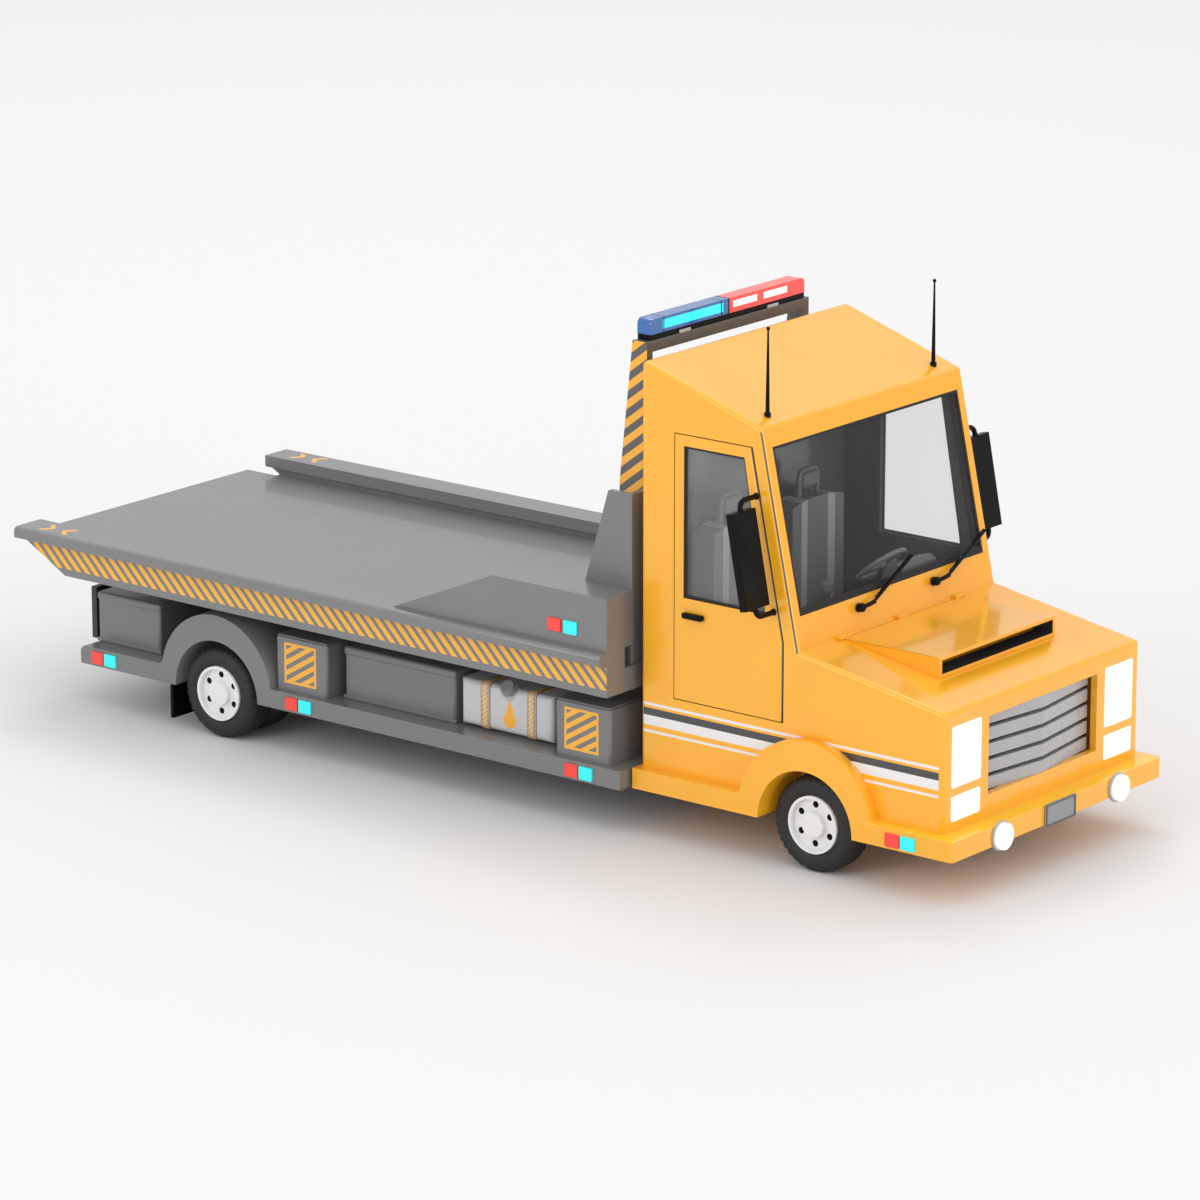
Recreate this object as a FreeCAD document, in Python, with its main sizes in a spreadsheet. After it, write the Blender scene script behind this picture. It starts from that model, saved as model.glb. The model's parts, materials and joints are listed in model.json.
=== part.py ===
import FreeCAD, Part
import math
import os
import re

import Sketcher

# Toy tow truck with a cab, a tilting and sliding flat bed and a light bar.
# Row frame: +X is the truck's forward direction, +Y its left side, +Z up.
# The origin lies on the ground under the middle of the truck.

DIMENSIONS = {
    # running gear
    "tyre_radius": 13.5,
    "rim_radius": 8.1,
    "axle_radius": 1.5,
    "front_axle_x": 120,
    "rear_axle_x": -90,
    "front_tyre_width": 10,
    "rear_tyre_width": 9.5,
    "front_wheel_face": 46.4,
    "rear_wheel_face": 53.5,
    "rear_pair_gap": 1.5,
    "hub_radius": 3.5,
    "rim_recess": 1.6,
    "rim_hole_radius": 0.95,
    "rim_hole_circle": 5.5,
    "rim_hole_depth": 2.5,
    "rim_hole_start": 30,
    "rim_lip": 0.8,
    "rim_web": 0.5,
    "axle_clearance": 1,
    "tyre_shoulder": 1.6,
    "running_gap": 0.05,
    "body_gap": 0.3,
    # chassis
    "frame_half": 16,
    "frame_slot_half": 8,
    "frame_bottom": 9.5,
    "frame_low_top": 17.2,
    "frame_high_top": 31,
    "frame_front": 150,
    "frame_rear": -144,
    "pivot_x": -138.5,
    "pivot_z": 37.5,
    "pin_radius": 1.25,
    "ear_radius": 2.6,
    "rear_plate_half": 47,
    "rear_plate_top": 35,
    "rear_plate_thick": 2,
    "end_block": 8,
    "axle_block_half": 12,
    "cross_x": -26,
    "cross_width": 8,
    "cross_cab_rear": 50,
    "cross_cab_front": 68,
    "frame_gap": 1,
    "ear_start": 8.5,
    "notch_low": 29,
    "notch_half": 25,
    # side skirts
    "skirt_half": 54.2,
    "skirt_bottom": 13.4,
    "skirt_top": 18.9,
    "skirt_front": 59.9,
    "skirt_wall": 2,
    "well_clearance": 2.5,
    "well_inner": 31,
    "fender_gap": 8,
    "fender_rise": 2.3,
    # cab lower body
    "cab_rear": 60.9,
    "bumper_front": 168.8,
    "bumper_rear": 152,
    "bumper_corner": 1.2,
    "arch_blend": 2,
    "cab_low_half": 50,
    "cab_low_bottom": 13.4,
    "cab_low_top": 19.2,
    "front_well_clearance": 2.35,
    "front_well_inner": 34,
    "flare_gap": 8.8,
    "flare_rise": 2.2,
    "liner_gap": 4.1,
    # cab shell
    "cab_half": 46.3,
    "cab_wall": 2,
    "cab_front": 163.1,
    "hood_front_z": 52.7,
    "cowl_x": 114.5,
    "cowl_z": 61,
    "roof_front_x": 101.6,
    "roof_front_z": 120.9,
    "roof_rise": 13.2,
    "cab_edge": 1.4,
    "screen_half": 42.7,
    "screen_low": 69.9,
    "screen_drop": 5.6,
    "glass_thick": 1.2,
    "glass_recess": 0.4,
    # doors
    "door_rear": 72.6,
    "door_front": 109.4,
    "door_bottom": 40.55,
    "door_kink_z": 62.65,
    "door_drop": 5.8,
    "door_top_front": 98.4,
    "door_gap": 0.3,
    "door_glass_recess": 0.95,
    "door_glass_thick": 1,
    "hinge_x": 107.9,
    "hinge_depth": 0.8,
    "hinge_radius": 0.4,
    "hinge_low": 35.5,
    "hinge_kink": 68,
    "hinge_high": 75,
    "jamb_round": 0.4,
    "window_rear": 75.6,
    "window_low": 69.5,
    "window_front": 103.7,
    "window_drop": 8.8,
    "window_top_front": 96.2,
    "handle_rear": 75.7,
    "handle_front": 83,
    "handle_z": 64.9,
    "handle_half": 0.8,
    "handle_out": 1.3,
    # mirrors
    "mirror_x": 103.6,
    "mirror_y": 54.3,
    "mirror_drop": 34.3,
    "mirror_rise": 33.3,
    "mirror_lean": 11.07,
    "rod_radius": 0.75,
    "mirror_half_width": 5.25,
    "mirror_height": 26.5,
    "mirror_thick": 2.6,
    "mirror_edge": 0.5,
    # front end
    "grille_half": 25.7,
    "grille_low": 25.6,
    "grille_high": 47.5,
    "grille_depth": 3.7,
    "slat_height": 3.5,
    "slat_tip": 0.6,
    "grille_back": 1.2,
    "slat_count": 5,
    "lamp_inner": 29.4,
    "lamp_outer": 42.8,
    "lamp_high_top": 48.3,
    "lamp_high_low": 31.2,
    "lamp_low_top": 28.95,
    "lamp_low_low": 21.9,
    "lamp_proud": 0.3,
    "fog_y": 27.84,
    "fog_z": 15.8,
    "fog_radius": 3.7,
    "fog_proud": 2,
    "plate_half": 7.1,
    "plate_low": 12.8,
    "plate_proud": 0.6,
    "scoop_half": 27.2,
    "scoop_front": 147.9,
    "scoop_rear": 115.8,
    "scoop_top": 61.3,
    "scoop_border": 1.1,
    "scoop_depth": 14,
    "whip_x": 97.7,
    "whip_y": 38.2,
    "whip_rise": 25.9,
    "whip_base_radius": 0.6,
    "whip_tip_radius": 0.25,
    "whip_foot_radius": 0.95,
    "whip_foot_height": 1,
    "whip_sink": 0.2,
    "whip_ball_radius": 0.5,
    "whip_ball_height": 1,
    "whip_ball_edge": 0.2,
    # wipers
    "wiper_y": 17.45,
    "wiper_z": 67,
    "spindle_radius": 0.8,
    "wiper_half": 0.5,
    "wiper_bend": 5.8,
    "wiper_reach": 26,
    "wiper_lift": 9.3,
    "wiper_rise": 0.4,
    "spindle_inner": 2.5,
    "spindle_outer": 1.5,
    "spindle_bore": 8,
    "wiper_boss": 1.25,
    "boss_low": 0.4,
    "boss_high": 2.3,
    "arm_low": 1.3,
    "arm_high": 2.2,
    "rubber_start": 2,
    "rubber_half": 0.25,
    "rubber_low": 0.1,
    # interior
    "seat_y": 18,
    "seat_half": 12,
    "seat_back_x": 66,
    "seat_back_front": 73.5,
    "seat_cushion_front": 93,
    "seat_cushion_top": 48,
    "seat_back_top": 85,
    "headrest_top": 93,
    "headrest_half": 4.5,
    "seat_round": 2,
    "headrest_inset": 2,
    "dash_rear": 98,
    "dash_front": 110,
    "dash_low": 48,
    "dash_top": 66,
    "dash_half": 42,
    "binnacle_half": 8,
    "binnacle_top": 71.5,
    "dash_bevel": 1.5,
    "dash_lip": 2,
    "dash_leg_rear": 4,
    "dash_leg_front": 8,
    "dash_leg_half": 12,
    "dash_overlap": 1,
    "hump_rear": 3,
    "hump_crest": 5,
    "hump_front": 3,
    "wheel_y": 20,
    "wheel_x": 94,
    "wheel_z": 68,
    "wheel_tilt": 50,
    "wheel_ring": 7.5,
    "wheel_grip": 0.75,
    "column_radius": 1.1,
    "column_length": 13,
    "column_bore_start": 16,
    "column_bore_length": 11,
    "wheel_hub": 2,
    "hub_low": 1.4,
    "hub_high": 0.6,
    "spoke_half": 0.8,
    "spoke_low": 0.6,
    "spoke_high": 0.2,
    "lever_x": 90,
    "lever_top": 66.5,
    "lever_radius": 0.8,
    "lever_knob": 2,
    "knob_low": 3,
    "knob_high": 0.5,
    "lever_boot": 5,
    "boot_height": 4,
    # things on the skirts
    "rear_box_rear": -143,
    "rear_box_front": -118,
    "rear_box_half": 47.5,
    "rear_box_top": 33.9,
    "box_inner": 22,
    "box_edge": 1,
    "sign_gap": 0.1,
    "sign_front_start": 35.3,
    "sign_length": 19.4,
    "sign_half": 52,
    "sign_top": 34.7,
    "tool_box_rear": -46.3,
    "tool_box_front": -5,
    "tool_box_half": 47.3,
    "tool_box_top": 34.2,
    "tank_rear": -2.7,
    "tank_front": 30.5,
    "tank_half": 47.5,
    "tank_low": 19.6,
    "tank_top": 33,
    "tank_round": 1.6,
    "cap_x": 14.8,
    "cap_radius": 2.3,
    "cap_height": 2.2,
    "cap_pocket": 0.8,
    "cap_shank": 1.2,
    "cap_inset": 5,
    "cap_stand": 0.07,
    "neck_length": 6,
    "neck_wall": 0.4,
    "shank_length": 5.5,
    "shank_start": 1.5,
    "foot_inset": 4,
    "flap_gap": 1.1,
    "flap_thick": 1.1,
    "flap_low": 3,
    "flap_inner": 33,
    # markers
    "marker_length": 4.7,
    "marker_low": 14.1,
    "marker_height": 3.8,
    "marker_proud": 0.5,
    "marker_pitch": 5.1,
    "marker_rear_x": -139.4,
    "marker_middle_x": -62.9,
    "marker_front_x": 40.5,
    "marker_cab_x": 147,
    "bed_marker_x": 37.6,
    "bed_marker_low": 56.5,
    "bed_marker_pitch": 5.7,
    # screws
    "screw_rear_x": 76,
    "screw_front_x": 100,
    "screw_radius": 2.2,
    "screw_head": 1.2,
    # tilting subframe
    "rail_inner": 14,
    "rail_outer": 20,
    "rail_bottom": 35,
    "rail_top": 40.15,
    "rail_front": 56,
    "rail_rear": -141.2,
    "groove_depth": 2,
    "groove_low": 36.9,
    "groove_high": 38.5,
    "bay_pitch": 56,
    "bay_length": 48,
    "bay_start": -110,
    "bay_tail": 18,
    "bay_end": 8,
    # bed
    "bed_front": 58.2,
    "bed_rear": -163.4,
    "bed_kink": -146,
    "lip_rear": -170.8,
    "lip_low": 46.1,
    "bed_low": 40.45,
    "deck_top": 47.5,
    "bed_rail_top": 53.25,
    "bed_rail_low": 50,
    "bed_side": 58,
    "bed_half": 61.2,
    "bed_inner": 49.9,
    "bed_round": 1.5,
    "undercut": 1.6,
    "undercut_top": 49.7,
    "spine_margin": 4,
    "deck_thick": 2.2,
    "foot_recess": 0.3,
    "rib_thick": 2,
    "rib_end": 3,
    "rib_offset": 2.5,
    "rib_front_x": -11,
    "guide_wall": 2.5,
    "guide_low": 36,
    # fairings, headboard and portal
    "fairing_inner": 46.2,
    "fairing_rear": -18.5,
    "fairing_shoulder": 17.8,
    "fairing_top": 68.55,
    "headboard_rear": 55.5,
    "headboard_front": 57.5,
    "headboard_half": 46,
    "headboard_top": 95.5,
    "gusset_thick": 2,
    "gusset_top_x": 49.1,
    "gusset_low_x": 41,
    "gusset_z": 68.5,
    "portal_outer": 36.9,
    "portal_inner": 34.2,
    "portal_front": 55.4,
    "portal_rear": 50.3,
    "portal_foot": 45.8,
    "portal_top": 136.15,
    "portal_beam": 3.2,
    "bar_half": 34.9,
    "bar_rear": 50.5,
    "bar_front": 55.25,
    "bar_base": 1.6,
    "lens_top": 142.05,
    "lens_gap": 0.3,
    "lens_round": 1.6,
}

SIDES = (("left", 1), ("right", -1))
FUNCTIONS = {"sin", "cos", "tan", "sqrt"}
TINY = 0.001
RIM_HOLES = 6

doc = FreeCAD.newDocument("TowTruck")
sheet = doc.addObject("Spreadsheet::Sheet", "Size")
pieces = []
groups = {}


def fill_sheet():
    """Writes each driving dimension into the sheet as plain text with its alias."""
    for row, (name, value) in enumerate(DIMENSIONS.items(), start=1):
        sheet.set(f"A{row}", name)
        sheet.set(f"B{row}", str(value))
        sheet.setAlias(f"B{row}", name)
    doc.recompute()


def bind(text):
    """Prefixes each alias in an expression with the sheet's name."""
    def prefix(match):
        word = match.group(0)
        return word if word in FUNCTIONS else f"Size.{word}"
    return re.sub(r"[A-Za-z_]\w*", prefix, str(text))


def value(text):
    """The number that an expression of aliases gives."""
    return float(sheet.evalExpression(bind(text)))


def sized(target, **properties):
    for name, text in properties.items():
        target.setExpression(name, bind(text))


# --- sketches and features ---


def new_body(label):
    body = doc.addObject("PartDesign::Body", label)
    body.Label = label
    pieces.append(body)
    return body


def new_group(label):
    groups[label] = []
    return label


def member(group, name):
    """A body that is one of the separate solids of a grouped node."""
    body = doc.addObject("PartDesign::Body", f"{group}_{name}")
    groups[group].append(body)
    return body


def origin_plane(body, role):
    return next(item for item in body.Origin.OriginFeatures if item.Role == role)


def new_sketch(body, role, offset):
    sketch = body.newObject("Sketcher::SketchObject", f"{body.Name}_sketch")
    sketch.AttachmentSupport = [(origin_plane(body, role), "")]
    sketch.MapMode = "FlatFace"
    sketch.setExpression("AttachmentOffset.Base.z", bind(offset))
    return sketch


def pin_point(sketch, geometry, point, across, up):
    """Holds a point of a sketch at two expressions measured from the origin."""
    for kind, text in (("DistanceX", across), ("DistanceY", up)):
        constraint = Sketcher.Constraint(kind, -1, 1, geometry, point, value(text))
        index = sketch.addConstraint(constraint)
        sketch.setExpression(f"Constraints[{index}]", bind(text))


def draw_outline(sketch, outline):
    corners = [FreeCAD.Vector(value(across), value(up), 0) for across, up in outline]
    count = len(corners)
    first = sketch.GeometryCount
    for index in range(count):
        line = Part.LineSegment(corners[index], corners[(index + 1) % count])
        sketch.addGeometry(line, False)
    for index in range(count):
        after = first + (index + 1) % count
        joint = Sketcher.Constraint("Coincident", first + index, 2, after, 1)
        sketch.addConstraint(joint)
    for index, (across, up) in enumerate(outline):
        pin_point(sketch, first + index, 1, across, up)


def draw_circle(sketch, across, up, radius):
    centre = FreeCAD.Vector(value(across), value(up), 0)
    circle = Part.Circle(centre, FreeCAD.Vector(0, 0, 1), value(radius))
    index = sketch.addGeometry(circle, False)
    pin_point(sketch, index, 3, across, up)
    rim = sketch.addConstraint(Sketcher.Constraint("Radius", index, value(radius)))
    sketch.setExpression(f"Constraints[{rim}]", bind(radius))


def extrude(body, role, shapes, low, high, cut=False):
    """Pads or pockets outlines and circles between two stations along the plane's normal axis."""
    start = f"-({high})" if role == "XZ_Plane" else low
    sketch = new_sketch(body, role, start)
    for shape in shapes:
        if isinstance(shape, list):
            draw_outline(sketch, shape)
        else:
            draw_circle(sketch, *shape)
    kind = "Pocket" if cut else "Pad"
    feature = body.newObject(f"PartDesign::{kind}", f"{body.Name}_{kind}")
    feature.Profile = sketch
    feature.setExpression("Length", bind(f"({high}) - ({low})"))
    feature.Reversed = cut
    sketch.Visibility = False
    return feature


def rectangle(left, bottom, right, top):
    return [(left, bottom), (right, bottom), (right, top), (left, top)]


def block(body, low, high, cut=False):
    """A box between two corners given as (x, y, z) expressions."""
    base = rectangle(low[0], low[1], high[0], high[1])
    return extrude(body, "XY_Plane", [base], low[2], high[2], cut)


def span(side, inner, outer):
    """The Y stations of something between two distances from the middle plane."""
    if side > 0:
        return inner, outer
    return f"-({outer})", f"-({inner})"


def soften(body, radius, chosen):
    """Rounds the edges of the latest feature that the test chosen(edge) picks."""
    doc.recompute()
    base = body.Tip
    names = [f"Edge{number}" for number, edge in enumerate(base.Shape.Edges, start=1) if chosen(edge)]
    fillet = body.newObject("PartDesign::Fillet", f"{body.Name}_Fillet")
    fillet.Base = (base, names)
    fillet.setExpression("Radius", bind(radius))
    return fillet


def runs_along(edge, axis):
    """True for a straight edge parallel to a row axis, 0 for X to 2 for Z."""
    if edge.Degenerated or edge.Curve.TypeId != "Part::GeomLine":
        return False
    return abs(abs(edge.Curve.Direction[axis]) - 1) < TINY ** 2


def middle(edge):
    return edge.CenterOfMass


def is_near(number, text):
    return abs(number - value(text)) < TINY


# --- running gear ---


def wheel_axle(label, centre_x, reach):
    axle = new_body(label)
    extrude(axle, "XZ_Plane", [(centre_x, "tyre_radius", "axle_radius")], f"-({reach})", reach)


def is_shoulder(edge):
    """True for a circular edge of a tyre's tread."""
    return edge.Curve.TypeId == "Part::GeomCircle" and is_near(edge.Curve.Radius, "tyre_radius")


def tyre(body, centre_x, side, inner, outer):
    """A ring with rounded shoulders between two distances from the middle plane."""
    low, high = span(side, inner, outer)
    extrude(body, "XZ_Plane", [(centre_x, "tyre_radius", "tyre_radius")], low, high)
    soften(body, "tyre_shoulder", is_shoulder)
    extrude(body, "XZ_Plane", [(centre_x, "tyre_radius", "rim_radius")], low, high, cut=True)


def rim(label, centre_x, side, inner, outer):
    """A wheel centre with a recessed face, six holes round it and a hub boss."""
    body = new_body(label)
    axle_centre = (centre_x, "tyre_radius")
    low, high = span(side, inner, outer)
    extrude(body, "XZ_Plane", [(*axle_centre, "rim_radius")], low, high)
    low, high = span(side, f"{outer} - rim_recess", outer)
    dish = [(*axle_centre, "rim_radius - rim_lip"), (*axle_centre, "hub_radius")]
    extrude(body, "XZ_Plane", dish, low, high, cut=True)
    low, high = span(side, f"{outer} - rim_recess - rim_hole_depth", outer)
    holes = []
    for step in range(RIM_HOLES):
        angle = f"(rim_hole_start + {360 * step / RIM_HOLES})"
        across = f"{centre_x} + rim_hole_circle * cos({angle})"
        up = f"tyre_radius + rim_hole_circle * sin({angle})"
        holes.append((across, up, "rim_hole_radius"))
    extrude(body, "XZ_Plane", holes, low, high, cut=True)
    low, high = span(side, "0", f"{outer} - rim_recess - rim_web")
    extrude(body, "XZ_Plane", [(*axle_centre, "axle_radius")], low, high, cut=True)


def running_gear():
    wheel_axle("front_axle", "front_axle_x", "front_wheel_face - rim_recess - rim_web")
    wheel_axle("rear_axle", "rear_axle_x", "rear_wheel_face - rim_recess - rim_web")
    front_inner = "front_wheel_face - front_tyre_width"
    rear_second = "rear_wheel_face - rear_tyre_width - rear_pair_gap"
    rear_inner = f"{rear_second} - rear_tyre_width"
    for name, side in SIDES:
        front_body = new_body(f"front_tyre_{name}")
        tyre(front_body, "front_axle_x", side, front_inner, "front_wheel_face")
        rim(f"front_rim_{name}", "front_axle_x", side, front_inner, "front_wheel_face")
        pair = new_group(f"rear_tyres_{name}")
        outer_place = ("rear_wheel_face - rear_tyre_width", "rear_wheel_face")
        tyre(member(pair, "outer"), "rear_axle_x", side, *outer_place)
        tyre(member(pair, "inner"), "rear_axle_x", side, rear_inner, rear_second)
        rim(f"rear_rim_{name}", "rear_axle_x", side, rear_inner, "rear_wheel_face")


# --- chassis ---


def chassis_frame():
    """Two joined longitudinal rails with axle bores, cross members, the rear plate and pivot ears."""
    body = new_body("chassis_frame")
    profile = [
        ("frame_rear", "frame_bottom"),
        ("frame_front", "frame_bottom"),
        ("frame_front", "frame_low_top"),
        ("cab_rear - frame_gap", "frame_low_top"),
        ("cab_rear - frame_gap", "frame_high_top"),
        ("frame_rear", "frame_high_top"),
    ]
    extrude(body, "XZ_Plane", [profile], "-frame_half", "frame_half")
    bays = (
        ("frame_rear + end_block", "rear_axle_x - axle_block_half"),
        ("rear_axle_x + axle_block_half", "cross_x - cross_width / 2"),
        ("cross_x + cross_width / 2", "cross_cab_rear"),
        ("cross_cab_front", "front_axle_x - axle_block_half"),
        ("front_axle_x + axle_block_half", "frame_front - end_block"),
    )
    for start, end in bays:
        low = (start, "-frame_slot_half", "0")
        high = (end, "frame_slot_half", "rear_plate_top")
        block(body, low, high, cut=True)
    plate_low = ("frame_rear - rear_plate_thick", "-rear_plate_half", "cab_low_top")
    plate_high = ("frame_rear", "rear_plate_half", "rear_plate_top")
    block(body, plate_low, plate_high)
    notch_low = ("frame_rear - rear_plate_thick", "-notch_half", "notch_low")
    notch_high = ("frame_rear", "notch_half", "rear_plate_top")
    block(body, notch_low, notch_high, cut=True)
    ear = [
        ("pivot_x - ear_radius", "notch_low"),
        ("pivot_x + ear_radius", "notch_low"),
        ("pivot_x + ear_radius", "pivot_z"),
        ("pivot_x - ear_radius", "pivot_z"),
    ]
    for _, side in SIDES:
        low, high = span(side, "ear_start", "rail_inner - body_gap")
        extrude(body, "XZ_Plane", [ear], low, high)
        extrude(body, "XZ_Plane", [("pivot_x", "pivot_z", "ear_radius")], low, high)
    bore = [("pivot_x", "pivot_z", "pin_radius")]
    extrude(body, "XZ_Plane", bore, "-frame_half", "frame_half", cut=True)
    for centre_x in ("front_axle_x", "rear_axle_x"):
        bore = [(centre_x, "tyre_radius", "axle_radius + running_gap")]
        extrude(body, "XZ_Plane", bore, "-frame_half", "frame_half", cut=True)


def side_skirt(name, side):
    """The grey ledge beside the frame with its hollow underside and the rear wheel fender."""
    body = new_body(f"side_skirt_{name}")
    inner, outer = span(side, "frame_half", "skirt_half")
    low = ("frame_rear", inner, "skirt_bottom")
    high = ("skirt_front", outer, "skirt_top")
    block(body, low, high)
    fender_low, fender_high = span(side, "well_inner - skirt_wall", "skirt_half")
    fender = [("rear_axle_x", "tyre_radius + fender_rise", "tyre_radius + fender_gap")]
    extrude(body, "XZ_Plane", fender, fender_low, fender_high)
    blend_arch(body, "skirt_top", "well_inner", "skirt_half", side, "rear_axle_x")
    below = ("rear_axle_x - (tyre_radius + fender_gap)", fender_low, "-(tyre_radius + fender_gap)")
    block(body, below, ("rear_axle_x + (tyre_radius + fender_gap)", fender_high, "skirt_bottom"), cut=True)
    low, high = span(side, "frame_half + skirt_wall", "skirt_half - skirt_wall")
    flap_face = "(rear_axle_x - tyre_radius - well_clearance - flap_gap)"
    hollows = (
        ("frame_rear + skirt_wall", f"{flap_face} - flap_thick - skirt_wall"),
        ("rear_axle_x + (tyre_radius + well_clearance) + skirt_wall", "skirt_front - skirt_wall"),
    )
    for start, end in hollows:
        corner = (start, low, "skirt_bottom")
        block(body, corner, (end, high, "skirt_top - skirt_wall"), cut=True)
    low, high = span(side, "well_inner", "skirt_half")
    well = [("rear_axle_x", "tyre_radius", "tyre_radius + well_clearance")]
    extrude(body, "XZ_Plane", well, low, high, cut=True)
    low, high = span(side, "frame_half", "well_inner")
    bore = [("rear_axle_x", "tyre_radius", "axle_radius + axle_clearance")]
    extrude(body, "XZ_Plane", bore, low, high, cut=True)


def side_box(body, start, end, outer, top, side):
    low, high = span(side, "box_inner", outer)
    block(body, (start, low, "skirt_top"), (end, high, top))


def skirt_furniture():
    """Boxes, sign holders, tanks and mud flaps: each kind is one node with a solid on each side."""
    rear_boxes = new_group("rear_boxes")
    tool_boxes = new_group("tool_boxes")
    sign_boxes = new_group("sign_boxes")
    sign_starts = {"rear": "rear_axle_x + tyre_radius + fender_gap + sign_gap", "front": "sign_front_start"}
    mud_flaps = new_group("mud_flaps")
    for name, side in SIDES:
        body = member(rear_boxes, name)
        side_box(body, "rear_box_rear", "rear_box_front", "rear_box_half", "rear_box_top", side)
        soften(body, "box_edge", lambda edge: middle(edge).z > value("skirt_top + body_gap"))
        body = member(tool_boxes, name)
        side_box(body, "tool_box_rear", "tool_box_front", "tool_box_half", "tool_box_top", side)
        soften(body, "box_edge", lambda edge: middle(edge).z > value("skirt_top + body_gap"))
        for place, start in sign_starts.items():
            body = member(sign_boxes, f"{place}_{name}")
            side_box(body, start, f"{start} + sign_length", "sign_half", "sign_top", side)
            soften(body, "box_edge", lambda edge: runs_along(edge, 2))
        body = member(mud_flaps, name)
        low, high = span(side, "flap_inner", "skirt_half")
        corner = ("(rear_axle_x - tyre_radius - well_clearance - flap_gap) - flap_thick", low, "flap_low")
        block(body, corner, ("rear_axle_x - tyre_radius - well_clearance - flap_gap", high, "skirt_bottom"))
        fuel_tank(name, side)


def tilted_cylinder(label, radius, length, place, direction):
    """A Part cylinder whose axis points along a direction, from a place."""
    cylinder = doc.addObject("Part::Cylinder", label)
    sized(cylinder, Radius=radius, Height=length)
    for letter, text in zip("xyz", place):
        cylinder.setExpression(f"Placement.Base.{letter}", bind(text))
    turn = FreeCAD.Rotation(FreeCAD.Vector(0, 0, 1), FreeCAD.Vector(*direction))
    cylinder.Placement.Rotation = turn
    return cylinder


def fuel_tank(name, side):
    body = new_body(f"tank_block_{name}")
    pieces.remove(body)
    low, high = span(side, "box_inner", "tank_half")
    block(body, ("tank_rear", low, "tank_low"), ("tank_front", high, "tank_top"))
    soften(body, "tank_round", lambda edge: runs_along(edge, 0) or runs_along(edge, 2))
    foot_low, foot_high = span(side, "box_inner + foot_inset", "tank_half - foot_inset")
    foot_end = ("tank_front - foot_inset", foot_high, "tank_low + 1")
    block(body, ("tank_rear + foot_inset", foot_low, "skirt_top"), foot_end)
    outwards = (0, side, 1)
    place = ("cap_x", f"{side} * (tank_half - cap_inset)", "tank_top - cap_inset")
    neck = tilted_cylinder(f"neck_{name}", "cap_radius + neck_wall", "neck_length", place, outwards)
    filled = combine(f"tank_filled_{name}", "Part::Fuse", body, neck)
    seat_place = along(place, outwards, "neck_length / sqrt(2)")
    pocket_radius = "cap_radius + cap_pocket"
    pocket = tilted_cylinder(f"neck_pocket_{name}", pocket_radius, "neck_length", seat_place, outwards)
    notched = combine(f"tank_notched_{name}", "Part::Cut", filled, pocket)
    bore_radius = "cap_shank + running_gap"
    bore = tilted_cylinder(f"neck_bore_{name}", bore_radius, "neck_length + 1", place, outwards)
    finish_boolean(f"fuel_tank_{name}", "Part::Cut", notched, bore)
    top = along(place, outwards, "neck_length / sqrt(2) + cap_stand")
    cap = tilted_cylinder(f"cap_head_{name}", "cap_radius", "cap_height", top, outwards)
    inside = along(place, outwards, "shank_start")
    shank = tilted_cylinder(f"cap_shank_{name}", "cap_shank", "shank_length", inside, outwards)
    finish_boolean(f"fuel_cap_{name}", "Part::Fuse", cap, shank)


def along(place, direction, distance):
    """A place moved by distance times a direction."""
    return tuple(f"{text} + {step} * ({distance})" for text, step in zip(place, direction))


def combine(label, kind, base, tool):
    result = doc.addObject(kind, label)
    result.Base = base
    result.Tool = tool
    return result


def finish_boolean(label, kind, base, tool):
    result = combine(label, kind, base, tool)
    result.Label = label
    pieces.append(result)
    return result


def close_groups():
    for label, members in groups.items():
        compound = doc.addObject("Part::Compound", label)
        compound.Links = members
        compound.Label = label
        pieces.append(compound)


def tilt_pin():
    pin = new_body("tilt_pin")
    reach = "rail_outer - groove_depth - body_gap"
    extrude(pin, "XZ_Plane", [("pivot_x", "pivot_z", "pin_radius")], f"-({reach})", reach)


def marker(body, start, low, side, surface):
    inner, outer = span(side, surface, f"{surface} + marker_proud")
    corner = (f"{start} + marker_length", outer, f"{low} + marker_height")
    block(body, (start, inner, low), corner)


def chassis_markers():
    """Square side markers in pairs, the front one of each pair ahead by the pitch."""
    reds = new_group("chassis_markers_red")
    cyans = new_group("chassis_markers_cyan")
    places = (
        ("rear", "marker_rear_x", "skirt_half"),
        ("middle", "marker_middle_x", "skirt_half"),
        ("front", "marker_front_x", "skirt_half"),
        ("cab", "marker_cab_x", "cab_low_half"),
    )
    for name, side in SIDES:
        for spot, start, surface in places:
            marker(member(reds, f"{spot}_{name}"), start, "marker_low", side, surface)
            ahead = f"{start} + marker_pitch"
            marker(member(cyans, f"{spot}_{name}"), ahead, "marker_low", side, surface)


def chassis_screws():
    """Four pan-head screws that hold the cab floor and skirts to the frame from below."""
    group = new_group("chassis_screws")
    for name, side in SIDES:
        for station in ("screw_rear_x", "screw_front_x"):
            body = member(group, f"{station}_{name}")
            head = (station, f"{side} * (frame_half + frame_slot_half) / 2", "screw_radius")
            extrude(body, "XY_Plane", [head], "frame_bottom - screw_head", "frame_bottom")


# --- cab ---


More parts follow.
